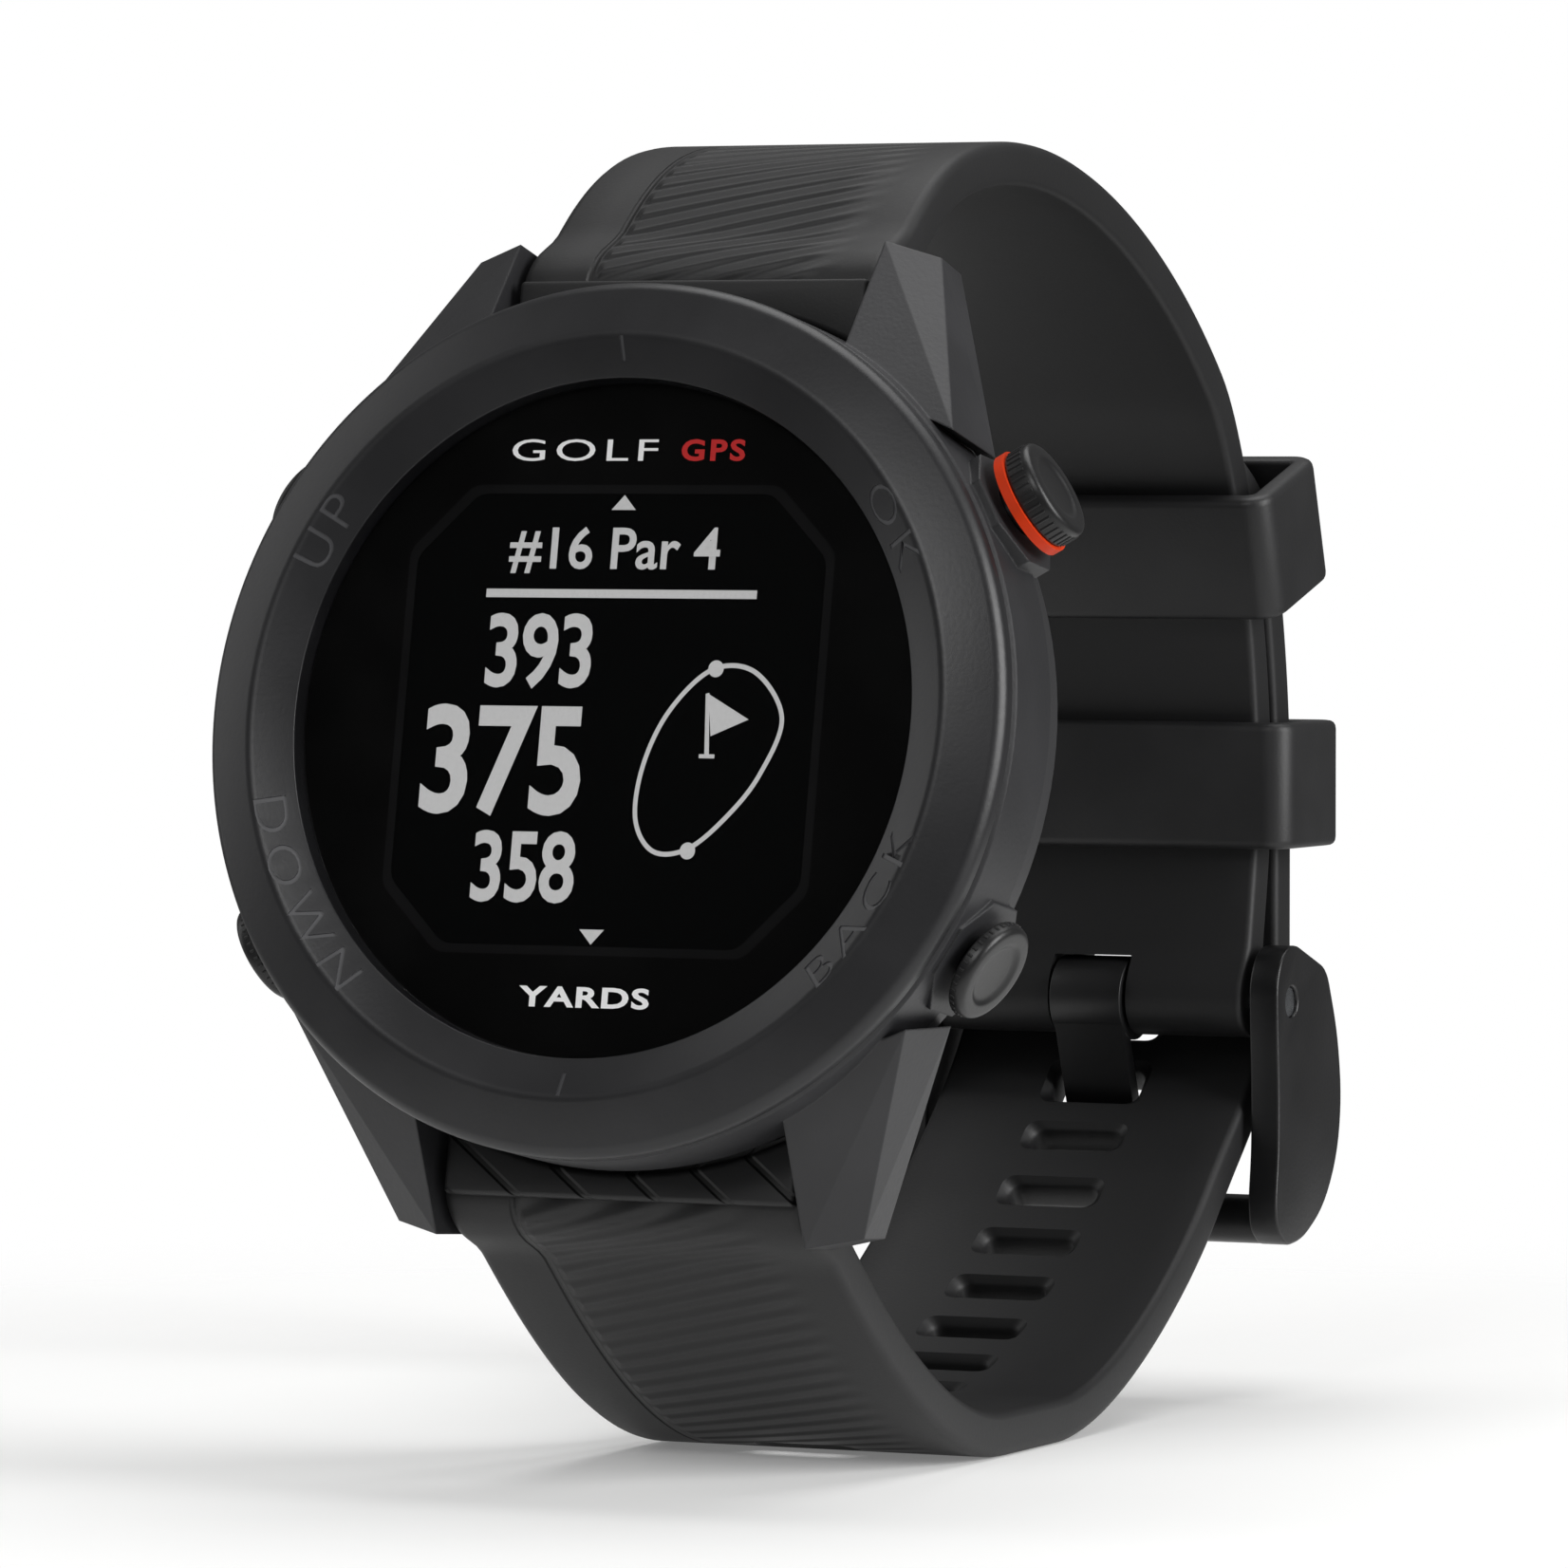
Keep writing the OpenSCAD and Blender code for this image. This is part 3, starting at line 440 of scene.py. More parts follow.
def sheet_mesh(name, outline, hole=None, n=PRINT_N, thick=0.008):
    """A thin flat piece in the head's plane, with a hole if one is given."""
    shape = bmesh.new()
    loops = [outline] + ([hole] if hole else [])
    edges = []
    for loop in loops:
        corners = [shape.verts.new((x, y, n)) for x, y in loop]
        edges += [shape.edges.new((corners[k - 1], corners[k])) for k in range(len(corners))]
    bmesh.ops.triangle_fill(shape, edges=edges, use_beauty=True)
    for f in shape.faces:
        f.normal_update()
        if f.normal.z < 0:
            f.normal_flip()
    grown = bmesh.ops.extrude_face_region(shape, geom=shape.faces[:])
    for v in (g for g in grown["geom"] if isinstance(g, bmesh.types.BMVert)):
        v.co.z -= thick
    return as_mesh(name, shape)


def octagon(half, corner, radius=0.5):
    inner = half - corner
    return rounded([(-inner, -half), (inner, -half), (half, -inner), (half, inner), (inner, half),
                    (-inner, half), (-half, inner), (-half, -inner)], radius)


def circle(x, y, r, steps=48):
    return [(x + r * math.cos(2 * math.pi * k / steps), y + r * math.sin(2 * math.pi * k / steps))
            for k in range(steps)]


display_window, window_edge = octagon(11.3, 3.2), octagon(11.75, 3.3)
mask_look = moulded("mask_print", "#020202", 0.6, depth=0.0005, Specular_IOR_Level=0.05)
mask = sheet_mesh("dial_mask", circle(0, 0, LENS_R - 0.05, 160), display_window)
flat_piece("dial_mask", mask, mask_look)
rim_look = moulded("window_rim_print", "#0a0a0b", 0.5, depth=0.0005, Specular_IOR_Level=0.1)
rim = sheet_mesh("window_rim", window_edge, display_window, n=PRINT_N + 0.003, thick=0.002)
flat_piece("window_rim", rim, rim_look)
screen = Finish("display_cells", "#020303", 0.4, Specular_IOR_Level=0.05)
cells = screen.noise(0.12, 1.0)
screen.tint(cells.step(0.4, 0.6), (0.0014, 0.0016, 0.0016))
screen.bump(cells, 0.002)
give(nodes["display_panel"], screen.look)

lit_look = Finish("display_pale", "#c9c9c9", 0.6)
lit_look.tint(lit_look.noise(0.15).step(0.35, 0.7), tuple(v * 0.93 for v in lit_look.colour))
lit_look.set("Emission Color", (1, 1, 1, 1))
lit_look.set("Emission Strength", 0.28)
white_print_painted_glow_look = Finish("print_white_painted_glow", "#f0f0f0", 0.6)
white_print_painted_glow_look.tint(white_print_painted_glow_look.noise(0.3).step(0.3, 0.8), tuple(v * 0.94 for v in white_print_painted_glow_look.colour))
# Painted glow: the white print gives off a little light of its own, though print is no lamp.
white_print_painted_glow_look.set("Emission Color", (1, 1, 1, 1))
white_print_painted_glow_look.set("Emission Strength", 0.25)
red_print_painted_glow_look = Finish("print_red_painted_glow", "#c81a1a", 0.6)
red_print_painted_glow_look.tint(red_print_painted_glow_look.noise(0.3).step(0.3, 0.8), tuple(v * 0.9 for v in red_print_painted_glow_look.colour))
# Painted glow: the red print gives off a little red light of its own, though print is no lamp.
red_print_painted_glow_look.set("Emission Color", (1, 0.03, 0.03, 1))
red_print_painted_glow_look.set("Emission Strength", 0.12)


def boxed_letters(name, words, box, look, bold, n, spacing=1.0):
    """Letters set so that they just fill a box of left, right, low and high."""
    mesh = lettering(words, bold=bold, spacing=spacing)
    xs, ys = [v.co.x for v in mesh.vertices], [v.co.y for v in mesh.vertices]
    left, right, bottom, top = box
    for v in mesh.vertices:
        v.co.x = left + (v.co.x - min(xs)) / (max(xs) - min(xs)) * (right - left)
        v.co.y = bottom + (v.co.y - min(ys)) / (max(ys) - min(ys)) * (top - bottom)
        v.co.z = n
    flat_piece(name, mesh, look)


DISPLAY_N, NAME_N = -1.018, PRINT_N + 0.006
boxed_letters("hole_words", "#16 Par 4", (-6.2, 5.45, 7.3, 9.65), lit_look.look, 0.014, DISPLAY_N)
boxed_letters("far_number", "393", (-7.0, -1.15, 1.5, 5.3), lit_look.look, 0.02, DISPLAY_N, 0.96)
boxed_letters("middle_number", "375", (-10.1, -1.2, -4.9, 0.7), lit_look.look, 0.022, DISPLAY_N, 0.96)
boxed_letters("near_number", "358", (-6.8, -1.1, -9.2, -5.6), lit_look.look, 0.02, DISPLAY_N, 0.96)
boxed_letters("name_words", "GOLF", (-6.5, 1.6, 12.95, 14.05), white_print_painted_glow_look.look, 0.0, NAME_N, 1.2)
boxed_letters("name_ending", "GPS", (2.9, 6.4, 12.95, 14.05), red_print_painted_glow_look.look, 0.03, NAME_N, 1.2)
boxed_letters("unit_words", "YARDS", (-3.6, 3.6, -14.35, -13.3), white_print_painted_glow_look.look, 0.03, NAME_N, 1.1)


def both_sides(points, width):
    """The two sides of a closed line of constant width."""
    lefts, rights = [], []
    for k, p in enumerate(points):
        before, after = points[k - 1], points[(k + 1) % len(points)]
        way = Vector((after[0] - before[0], after[1] - before[1])).normalized()
        side = Vector((-way.y, way.x)) * width / 2
        lefts.append((p[0] + side.x, p[1] + side.y))
        rights.append((p[0] - side.x, p[1] - side.y))
    return lefts, rights


def spline(corners, parts=14):
    """A smooth closed curve through a few points."""
    made, count = [], len(corners)
    for k in range(count):
        a, b, c, d = (Vector(corners[(k + j) % count]) for j in (-1, 0, 1, 2))
        for j in range(parts):
            t = j / parts
            made.append(tuple(0.5 * (2 * b + (c - a) * t + (2 * a - 5 * b + 4 * c - d) * t * t
                                     + (3 * b - a - 3 * c + d) * t ** 3)))
    return made


green_line = spline([(5.55, 2.55), (7.9, 2.45), (9.55, 0.2), (8.6, -2.6), (7.0, -4.7), (5.0, -6.35),
                     (3.1, -6.5), (2.0, -4.9), (2.2, -2.2), (3.4, 0.5)])
outer_line, inner_line = both_sides(green_line, 0.24)
flat_piece("green_outline", sheet_mesh("green_outline", outer_line, inner_line, DISPLAY_N, 0.001),
           lit_look.look)
for name, outline in (
        ("heading_rule", [(-7.3, 6.08), (7.65, 6.08), (7.65, 6.51), (-7.3, 6.51)]),
        ("up_arrow", [(-0.72, 10.5), (0.62, 10.5), (-0.05, 11.25)]),
        ("down_arrow", [(0.12, -11.2), (0.8, -10.45), (-0.56, -10.45)]),
        ("green_back", circle(5.75, 2.6, 0.42)), ("green_front", circle(5.0, -6.45, 0.42)),
        ("flag_cloth", [(5.45, 1.35), (7.75, 0.1), (5.75, -0.75)]),
        ("flag_pole", [(5.3, 1.35), (5.5, 1.4), (5.75, -1.75), (5.5, -1.75)]),
        ("flag_foot", [(5.2, -1.85), (6.05, -1.85), (6.05, -1.65), (5.2, -1.65)])):
    flat_piece(name, sheet_mesh(name, outline, None, DISPLAY_N + 0.001, 0.001), lit_look.look)

# ---- Case, back cover and what is inside ----
# A moulded case with four sharp lugs, closed behind by a screwed cover with four gold contacts.
# The board, battery, antenna, seals and switches sit inside.
def softened(look, edge):
    """Rounds the corners that a moulding has, in its shading only."""
    tree = look.node_tree
    corner = tree.nodes.new("ShaderNodeBevel")
    corner.samples = 4
    corner.inputs["Radius"].default_value = edge * MM
    for made in tree.nodes:
        if made.type == "BUMP" and not made.inputs["Normal"].is_linked:
            tree.links.new(corner.outputs[0], made.inputs["Normal"])
    return look


def brushed(name, colour, rough, stretch=(1, 1, 12)):
    """Turned or drawn metal: fine lines drawn out one way, with worn lighter places."""
    made = Finish(name, colour, rough, Metallic=1.0)
    drawn = made.node("ShaderNodeMapping", Vector=made.place, Scale=stretch)
    lines = made.noise(0.25, 3.0, drawn)
    made.set("Roughness", rough + 0.25 * (lines - 0.5))
    made.tint(made.noise(1.5).step(0.3, 0.8), tuple(v * 0.78 for v in made.colour))
    made.bump(lines, 0.006)
    return made.look


case_look = softened(moulded("case_plastic", "#222224", 0.46, grain=0.25, depth=0.010), 0.16)
give(nodes["case_body"], case_look)
give(nodes["back_cover"], moulded("back_cover_plastic", "#161617", 0.5, grain=0.25, depth=0.014))
give(nodes["contact_block"], moulded("contact_block_plastic", "#141415", 0.42, grain=0.2))
give(nodes["charging_contacts"], brushed("gold_contact", "#c9a04a", 0.28))
give(nodes["back_screws"], brushed("screw_steel", "#8f9296", 0.34))
give(nodes["inner_frame"], moulded("inner_plastic", "#3a3c3e", 0.55))
give(nodes["lens_adhesive"], moulded("adhesive_film", "#1c1c1c", 0.5))
give(nodes["display_light_guide"], moulded("light_guide", "#d8dcdc", 0.2, depth=0.002))
give(nodes["display_flex"], moulded("flex_film", "#a8641e", 0.35, depth=0.002))
give(nodes["main_board"], moulded("circuit_board", "#1f5a38", 0.4, grain=0.6, depth=0.01))
give(nodes["gps_antenna"], brushed("antenna_metal", "#c9a25a", 0.35))
give(nodes["battery"], brushed("battery_foil", "#b8bcc0", 0.4, stretch=(1, 1, 1)))
rubber = moulded("seal_rubber", "#151515", 0.7, grain=0.15)
steel = brushed("small_steel", "#a0a3a6", 0.3)
for name in ("case_gasket", "back_gasket", "ok_seal", "back_seal", "up_seal", "down_seal"):
    give(nodes[name], rubber)
for name in nodes:
    if name.endswith(("_clip", "_switch", "_bar_tube", "_fixed_tip", "_release_tip", "_bar_spring")):
        give(nodes[name], steel)
give(nodes["buckle_bar"], steel)
plunger_look = moulded("plunger_plastic", "#d0d0c8", 0.4)
for side in ("ok", "back", "up", "down"):
    give(nodes[side + "_plunger"], plunger_look)

# ---- Buttons ----
# Moulded caps with a finely ribbed edge and a shallow dish, on stems that pass through the case.
# The upper right one sits on a bright ring.
CAP_R, STEM_R, STEM_PAST_CLIP = 2.65, 1.0, 1.2
OK_CAP, PLAIN_CAP = (23.45, 24.85), (22.55, 23.4)
DISH_R, DISH_DEEP, RIB_COUNT, RIB_R = 1.75, 0.16, 40, 0.09
button_look = softened(moulded("button_plastic", "#0c0c0d", 0.38, grain=0.18, depth=0.006), 0.05)
ring_look = Finish("accent_ring", "#e23c10", 0.5, Specular_IOR_Level=0.2)
ring_look.tint(ring_look.noise(1.2).step(0.3, 0.8), (0.62, 0.045, 0.008))
ring_look.bump(ring_look.noise(0.2), 0.004)
give(nodes["ok_accent_ring"], ring_look.look)


def grip_ribs(count, radius, low, high, width, look):
    """Geometry Nodes: small upright ribs set evenly round a cap."""
    tree = bpy.data.node_groups.new("grip_ribs", "GeometryNodeTree")
    for label, kind in (("Count", "NodeSocketInt"), ("Radius", "NodeSocketFloat"),
                        ("Tall", "NodeSocketFloat"), ("Width", "NodeSocketFloat"),
                        ("Middle", "NodeSocketFloat")):
        tree.interface.new_socket(label, in_out="INPUT", socket_type=kind)
    tree.interface.new_socket("Geometry", in_out="OUTPUT", socket_type="NodeSocketGeometry")
    given, made = tree.nodes.new("NodeGroupInput"), {}
    for key, kind in (("ring", "GeometryNodeMeshCircle"), ("rib", "GeometryNodeMeshCylinder"),
                      ("set", "GeometryNodeInstanceOnPoints"), ("real", "GeometryNodeRealizeInstances"),
                      ("look", "GeometryNodeSetMaterial"), ("lift", "GeometryNodeTransform"),
                      ("up", "ShaderNodeCombineXYZ"), ("out", "NodeGroupOutput")):
        made[key] = tree.nodes.new(kind)
    made["rib"].inputs["Vertices"].default_value = 8
    made["look"].inputs["Material"].default_value = look
    for source, name, target, socket in (
            (given, "Count", "ring", "Vertices"), (given, "Radius", "ring", "Radius"),
            (given, "Tall", "rib", "Depth"), (given, "Width", "rib", "Radius"),
            (given, "Middle", "up", "Z")):
        tree.links.new(source.outputs[name], made[target].inputs[socket])
    tree.links.new(made["ring"].outputs["Mesh"], made["set"].inputs["Points"])
    tree.links.new(made["rib"].outputs["Mesh"], made["set"].inputs["Instance"])
    tree.links.new(made["set"].outputs["Instances"], made["real"].inputs["Geometry"])
    tree.links.new(made["real"].outputs["Geometry"], made["lift"].inputs["Geometry"])
    tree.links.new(made["up"].outputs[0], made["lift"].inputs["Translation"])
    tree.links.new(made["lift"].outputs["Geometry"], made["look"].inputs["Geometry"])
    tree.links.new(made["look"].outputs["Geometry"], made["out"].inputs[0])
    holder = bpy.data.objects.new("ribs", bpy.data.meshes.new("ribs"))
    bpy.context.scene.collection.objects.link(holder)
    growing = holder.modifiers.new("ribs", "NODES")
    growing.node_group = tree
    chosen = {"Count": count, "Radius": radius, "Tall": high - low, "Width": width,
              "Middle": (low + high) / 2}
    for item in tree.interface.items_tree:
        if item.item_type == "SOCKET" and item.in_out == "INPUT":
            growing[item.identifier] = chosen[item.name]
    mesh = bpy.data.meshes.new_from_object(
        holder.evaluated_get(bpy.context.evaluated_depsgraph_get()))
    bpy.data.objects.remove(holder)
    return mesh


low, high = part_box("ok_switch")
switch_n = (HEAD.inverted() @ ((low + high) / 2)).z
for side, degrees, (base, top) in (("ok", 30, OK_CAP), ("back", -30, PLAIN_CAP),
                                   ("up", 150, PLAIN_CAP), ("down", 210, PLAIN_CAP)):
    on_axis = HEAD @ Matrix.Translation((0, 0, switch_n)) @ Matrix.Rotation(
        math.radians(degrees), 4, "Z") @ Matrix.Rotation(math.pi / 2, 4, "Y")
    low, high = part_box(side + "_clip")
    stem_end = (on_axis.inverted() @ ((low + high) / 2)).z - STEM_PAST_CLIP
    outline = rounded(
        [(0, stem_end), (STEM_R, stem_end), (STEM_R, base), (CAP_R - 0.06, base),
         (CAP_R - 0.06, top), (DISH_R, top), (DISH_R - 0.3, top - DISH_DEEP),
         (0, top - DISH_DEEP - 0.03)],
        [0, 0.1, 0, 0.12, 0.5, 0.1, 0.2, 0], parts=6, closed=False)
    cap = lathe(side + "_cap", outline, button_look, on_axis, steps=72, closed=False)
    settle(cap, side + "_button", side + "_button")
    ribs = grip_ribs(RIB_COUNT, CAP_R - RIB_R, base + 0.15, top - 0.45, RIB_R, button_look)
    grip = as_object(side + "_grip_ribs", ribs, button_look, on_axis)
    settle(grip, side + "_button")

# ---- Strap line ----
# Both halves follow chains of curves from a spring bar round the closed loop. The slotted half
# ends outside the other, under the keepers.
def middle(node):
    low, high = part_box(node)
    here = LOOP.inverted() @ ((low + high) / 2)
    return Vector((here.y, here.z))


STRAP_T, STRAP_W, END_W, BARREL_R, LAYER_GAP = 2.3, 20.0, 18.4, 2.0, 0.4
upper_bar, lower_bar = middle("upper_bar_tube"), middle("lower_bar_tube")
buckle_at = middle("buckle_bar")
CROWN_RISE, BELLY_DROP, BACK_OUT = 6.9, 13.4, 1.5
crown, belly, back = upper_bar.y + CROWN_RISE, lower_bar.y - BELLY_DROP, buckle_at.x + BACK_OUT
LAYER = STRAP_T + LAYER_GAP
tail = back + LAYER


def bend(*points):
    return [Vector(p) for p in points]


upper_curves = [
    bend(upper_bar, upper_bar + Vector((5.0, 4.8)), (20.8, crown), (28.8, crown)),
    bend((28.8, crown), (38.8, crown), (back - 13.3, 22.7), (back - 6.7, 16.5)),
    bend((back - 6.7, 16.5), (back - 3.0, 13.0), (back, 2.5), (back, -5.5)),
    bend((back, -5.5), (back, -9.5), buckle_at + Vector((0.4, 4.2)), buckle_at)]
under_buckle = buckle_at + Vector((-5.7, -10.8))
lower_curves = [
    bend(lower_bar, lower_bar + Vector((4.3, -4.0)), (17.8, belly), (27.5, belly)),
    bend((27.5, belly), (30, belly), (32, belly), (34.5, belly)),
    bend((34.5, belly), (41.5, belly), buckle_at + Vector((-10.0, -14.9)), under_buckle),
    bend(under_buckle, buckle_at + Vector((-2.1, -7.4)),
         (tail, buckle_at.y - 3.0), (tail, buckle_at.y + 2.0)),
    bend((tail, buckle_at.y + 2.0), (tail, -12), (tail, -9), (tail, -5.5))]


def curve_at(c, t):
    return c[0] * (1 - t) ** 3 + c[1] * 3 * t * (1 - t) ** 2 + c[2] * 3 * t * t * (1 - t) + c[3] * t ** 3


def slope_at(c, t):
    return ((c[1] - c[0]) * 3 * (1 - t) ** 2 + (c[2] - c[1]) * 6 * t * (1 - t)
            + (c[3] - c[2]) * 3 * t * t).normalized()


def left_of(v):
    return Vector((-v.y, v.x))


class Line:
    """A path in the loop's plane that gives its point and direction at any length along it."""
    def __init__(self, points):
        self.points, self.lengths = points, [0.0]
        for a, b in zip(points, points[1:]):
            self.lengths.append(self.lengths[-1] + (b - a).length)
        self.whole = self.lengths[-1]

    def at(self, s):
        if s <= 0:
            return self.points[0] + (self.points[1] - self.points[0]).normalized() * s
        if s >= self.whole:
            return self.points[-1] + (self.points[-1] - self.points[-2]).normalized() * (s - self.whole)
        low, high = 0, len(self.lengths) - 1
        while high - low > 1:
            half = (low + high) // 2
            low, high = (half, high) if self.lengths[half] <= s else (low, half)
        t = (s - self.lengths[low]) / (self.lengths[high] - self.lengths[low])
        return self.points[low].lerp(self.points[high], t)

    def way(self, s):
        return (self.at(s + 0.15) - self.at(s - 0.15)).normalized()


def chained(curves, parts=80):
    return [curve_at(c, k / parts) for c in curves for k in range(parts)] + [curve_at(curves[-1], 1)]


upper_line = Line(chained(upper_curves))
TAIL_END, TAIL_PARTS = 0.28, 60
tail_curve = upper_curves[2]
tail_points = []
for k in range(1, TAIL_PARTS + 1):
    t = 1 - (1 - TAIL_END) * k / TAIL_PARTS
    tail_points.append(curve_at(tail_curve, t) + left_of(slope_at(tail_curve, t)) * LAYER)
lower_line = Line(chained(lower_curves) + tail_points)

# ---- Strap halves ----
# Moulded silicone bands, thick round the spring bars, with a plain margin, a thin groove and
# slanted ribs outside. The long half has chamfered slots. A lip at each end follows the case.
RIB_PITCH, RIB_SLANT, GROOVE_X = 1.3, math.tan(math.radians(18.0)), -6.1
BAR_BORE, BUCKLE_BORE = 0.95, 0.85


def silicone(name, slant, reach):
    """Silicone whose ribs run at a slant and fade out along the strap and to one side."""
    made = Finish(name, "#131314", 0.52)
    lay_x, lay_y, lay_z = made.split(made.node("ShaderNodeUVMap", {"uv_map": "lay"}))
    across, along = lay_x * 100, lay_y * 100
    ribs = ((along + across * slant) * (2 * math.pi / RIB_PITCH)).wave() * 0.5 + 0.5
    field = (across.step(GROOVE_X + 0.25, GROOVE_X + 0.6) * (1 - across.step(4.5, 8.0))
             * along.step(-3.0, 0.0) * (1 - along.step(reach - 6, reach)))
    groove = (1 - abs(across - GROOVE_X).step(0.05, 0.22)) * (1 - along.step(reach + 1, reach + 4))
    grain = made.noise(0.16, 3.0)
    dust = made.noise(7.0, 4.0)
    # Lighter dust patches at random, plus painted shade: everything outside the ribbed field is tinted a
    # little lighter, so the ribbed field reads as shaded by its ribs.
    made.tint(dust.step(0.4, 0.75) * 0.6 + (1 - field) * 0.1, tuple(v * 1.35 for v in made.colour))
    made.set("Roughness", 0.46 + 0.1 * dust + 0.08 * grain - 0.04 * field)
    fine = made.bump(grain, 0.007)
    made.bump(field * ribs - groove * 1.6, 0.24, under=fine)
    return made.look


def half_width(line, s):
    taper = (line.at(s).x - (upper_bar.x + 4)) / (buckle_at.x - 3 - upper_bar.x - 4)
    return (STRAP_W + (END_W - STRAP_W) * min(1, max(0, taper))) / 2


def eased(t):
    t = min(1, max(0, t))
    return t * t * (3 - 2 * t)


TIP_L, TIP_KEEPS, TIP_ROUND, STEP = 6, 0.55, 0.6, 0.7


def strap_skin(name, line, outward, end_barrel, look):
    """Sweeps a rounded section along a line, from a barrel to a second barrel or to a round tip.
    outward is 1 where the loop's outside is on the left."""
    half = STRAP_T / 2
    places = [-BARREL_R + 0.02 + BARREL_R * (1 - math.cos(math.pi / 2 * k / 8)) for k in range(9)]
    end = line.whole
    count = int(end / STEP)
    places += [end * k / count for k in range(1, count + 1)]
    if end_barrel:
        places += [end + (BARREL_R - 0.02) * math.sin(math.pi / 2 * k / 8) for k in range(1, 9)]
    rings, lays = [], []
    for s in places:
        thick = half
        if s < 0:
            thick = math.sqrt(max(BARREL_R ** 2 - s * s, 1e-4))
        elif s < 5:
            thick = BARREL_R + (half - BARREL_R) * eased((s - 0.4) / 3.4)
        if end_barrel and s > end:
            thick = math.sqrt(max(BARREL_R ** 2 - (s - end) ** 2, 1e-4))
        elif end_barrel and s > end - 4:
            thick = BARREL_R + (half - BARREL_R) * eased((end - s - 0.4) / 2.6)
        w = half_width(line, s)
        if not end_barrel:
            left_over = end - s
            if left_over < TIP_L:
                part = (TIP_L - left_over) / (TIP_L + TIP_ROUND)
                w *= math.sqrt(max(0.0, 1 - part ** 2)) * (1 - TIP_KEEPS) + TIP_KEEPS
            if left_over < TIP_ROUND:
                thick *= TIP_KEEPS + (1 - TIP_KEEPS) * left_over / TIP_ROUND
        ease_out, ease_in = min(0.62, thick * 0.5), min(0.4, thick * 0.4)
        section = []
        for cx, cz, r, first in ((w - ease_out, thick - ease_out, ease_out, 90),
                                 (w - ease_in, -thick + ease_in, ease_in, 0),
                                 (-w + ease_in, -thick + ease_in, ease_in, -90),
                                 (-w + ease_out, thick - ease_out, ease_out, -180)):
            for k in range(5):
                a = math.radians(first - 90 * k / 4)
                section.append((cx + r * math.cos(a), cz + r * math.sin(a)))
        flats = []
        for (ax, az), (bx, bz) in zip(section, section[1:] + section[:1]):
            flats.append((ax, az))
            if abs(ax - bx) > 4:
                flats += [(ax + (bx - ax) * k / 10, az + (bz - az) * k / 10) for k in range(1, 10)]
        p, n = line.at(s), left_of(line.way(s)) * outward
        rings.append([LOOP @ Vector((x, p.x + n.x * z, p.y + n.y * z)) for x, z in flats])
        lays.append([(x, s, z) for x, z in flats])
    shape = bmesh.new()
    lay = shape.loops.layers.uv.new("lay")
    made = [[shape.verts.new(p) for p in ring] for ring in rings]
    size = len(made[0])

    def dress(face, spots):
        inside = sum(z for _, _, z in spots) < 0
        for loop, (x, s, _) in zip(face.loops, spots):
            loop[lay].uv = (x / 100 + (3 if inside else 0), s / 100)

    for i in range(len(made) - 1):
        for j in range(size):
            k = (j + 1) % size
            face = shape.faces.new((made[i][j], made[i][k], made[i + 1][k], made[i + 1][j]))
            dress(face, (lays[i][j], lays[i][k], lays[i + 1][k], lays[i + 1][j]))
    shape.faces.new(made[0][::-1])
    shape.faces.new(made[-1])
    return as_object(name, as_mesh(name, shape), look)


def lofted(name, outlines, place):
    """A closed solid through outlines of equally many points: (points, height) from low to high."""
    shape = bmesh.new()
    made = [[shape.verts.new((x, y, z)) for x, y in points] for points, z in outlines]
    size = len(made[0])
    for low, high in zip(made, made[1:]):
        for j in range(size):
            shape.faces.new((low[j], low[(j + 1) % size], high[(j + 1) % size], high[j]))
    shape.faces.new(made[0][::-1])
    shape.faces.new(made[-1])
    return as_object(name, as_mesh(name, shape), None, place)


def across_strap(line, s, outward):
    """The place of a strap's surface at s: x across, y along and z out of the loop."""
    p, way = line.at(s), line.way(s)
    n = left_of(way) * outward
    turn = Matrix(((1, 0, 0, 0), (0, way.x, n.x, p.x), (0, way.y, n.y, p.y), (0, 0, 0, 1)))
    return LOOP @ turn


def joined(name, objects):
    """Joins loose tools into one mesh."""
    whole = bmesh.new()
    for o in objects:
        whole.from_mesh(o.data)
        bpy.data.objects.remove(o)
    mesh = bpy.data.meshes.new(name)
    whole.to_mesh(mesh)
    whole.free()
    return as_object(name, mesh, None)


def rod(name, at, radius, half):
    """A round rod across the loop."""
    place = LOOP @ Matrix.Translation((0, at.x, at.y)) @ Matrix.Rotation(math.pi / 2, 4, "Y")
    ring = circle(0, 0, radius, 40)
    return lofted(name, [(ring, -half), (ring, half)], place)


def window(name, at, way, x0, x1, half, depth):
    """A square-sided opening beside a spring bar, for its release knob."""
    n = Vector(way).normalized()
    side = left_of(n)
    turn = Matrix(((1, 0, 0, (x0 + x1) / 2), (0, side.x, n.x, at.x), (0, side.y, n.y, at.y),
                   (0, 0, 0, 1)))
    w = (x1 - x0) / 2
    box = rounded([(-w, -half), (w, -half), (w, half), (-w, half)], 0.3)
    return lofted(name, [(box, 0.0), (box, depth)], LOOP @ turn)


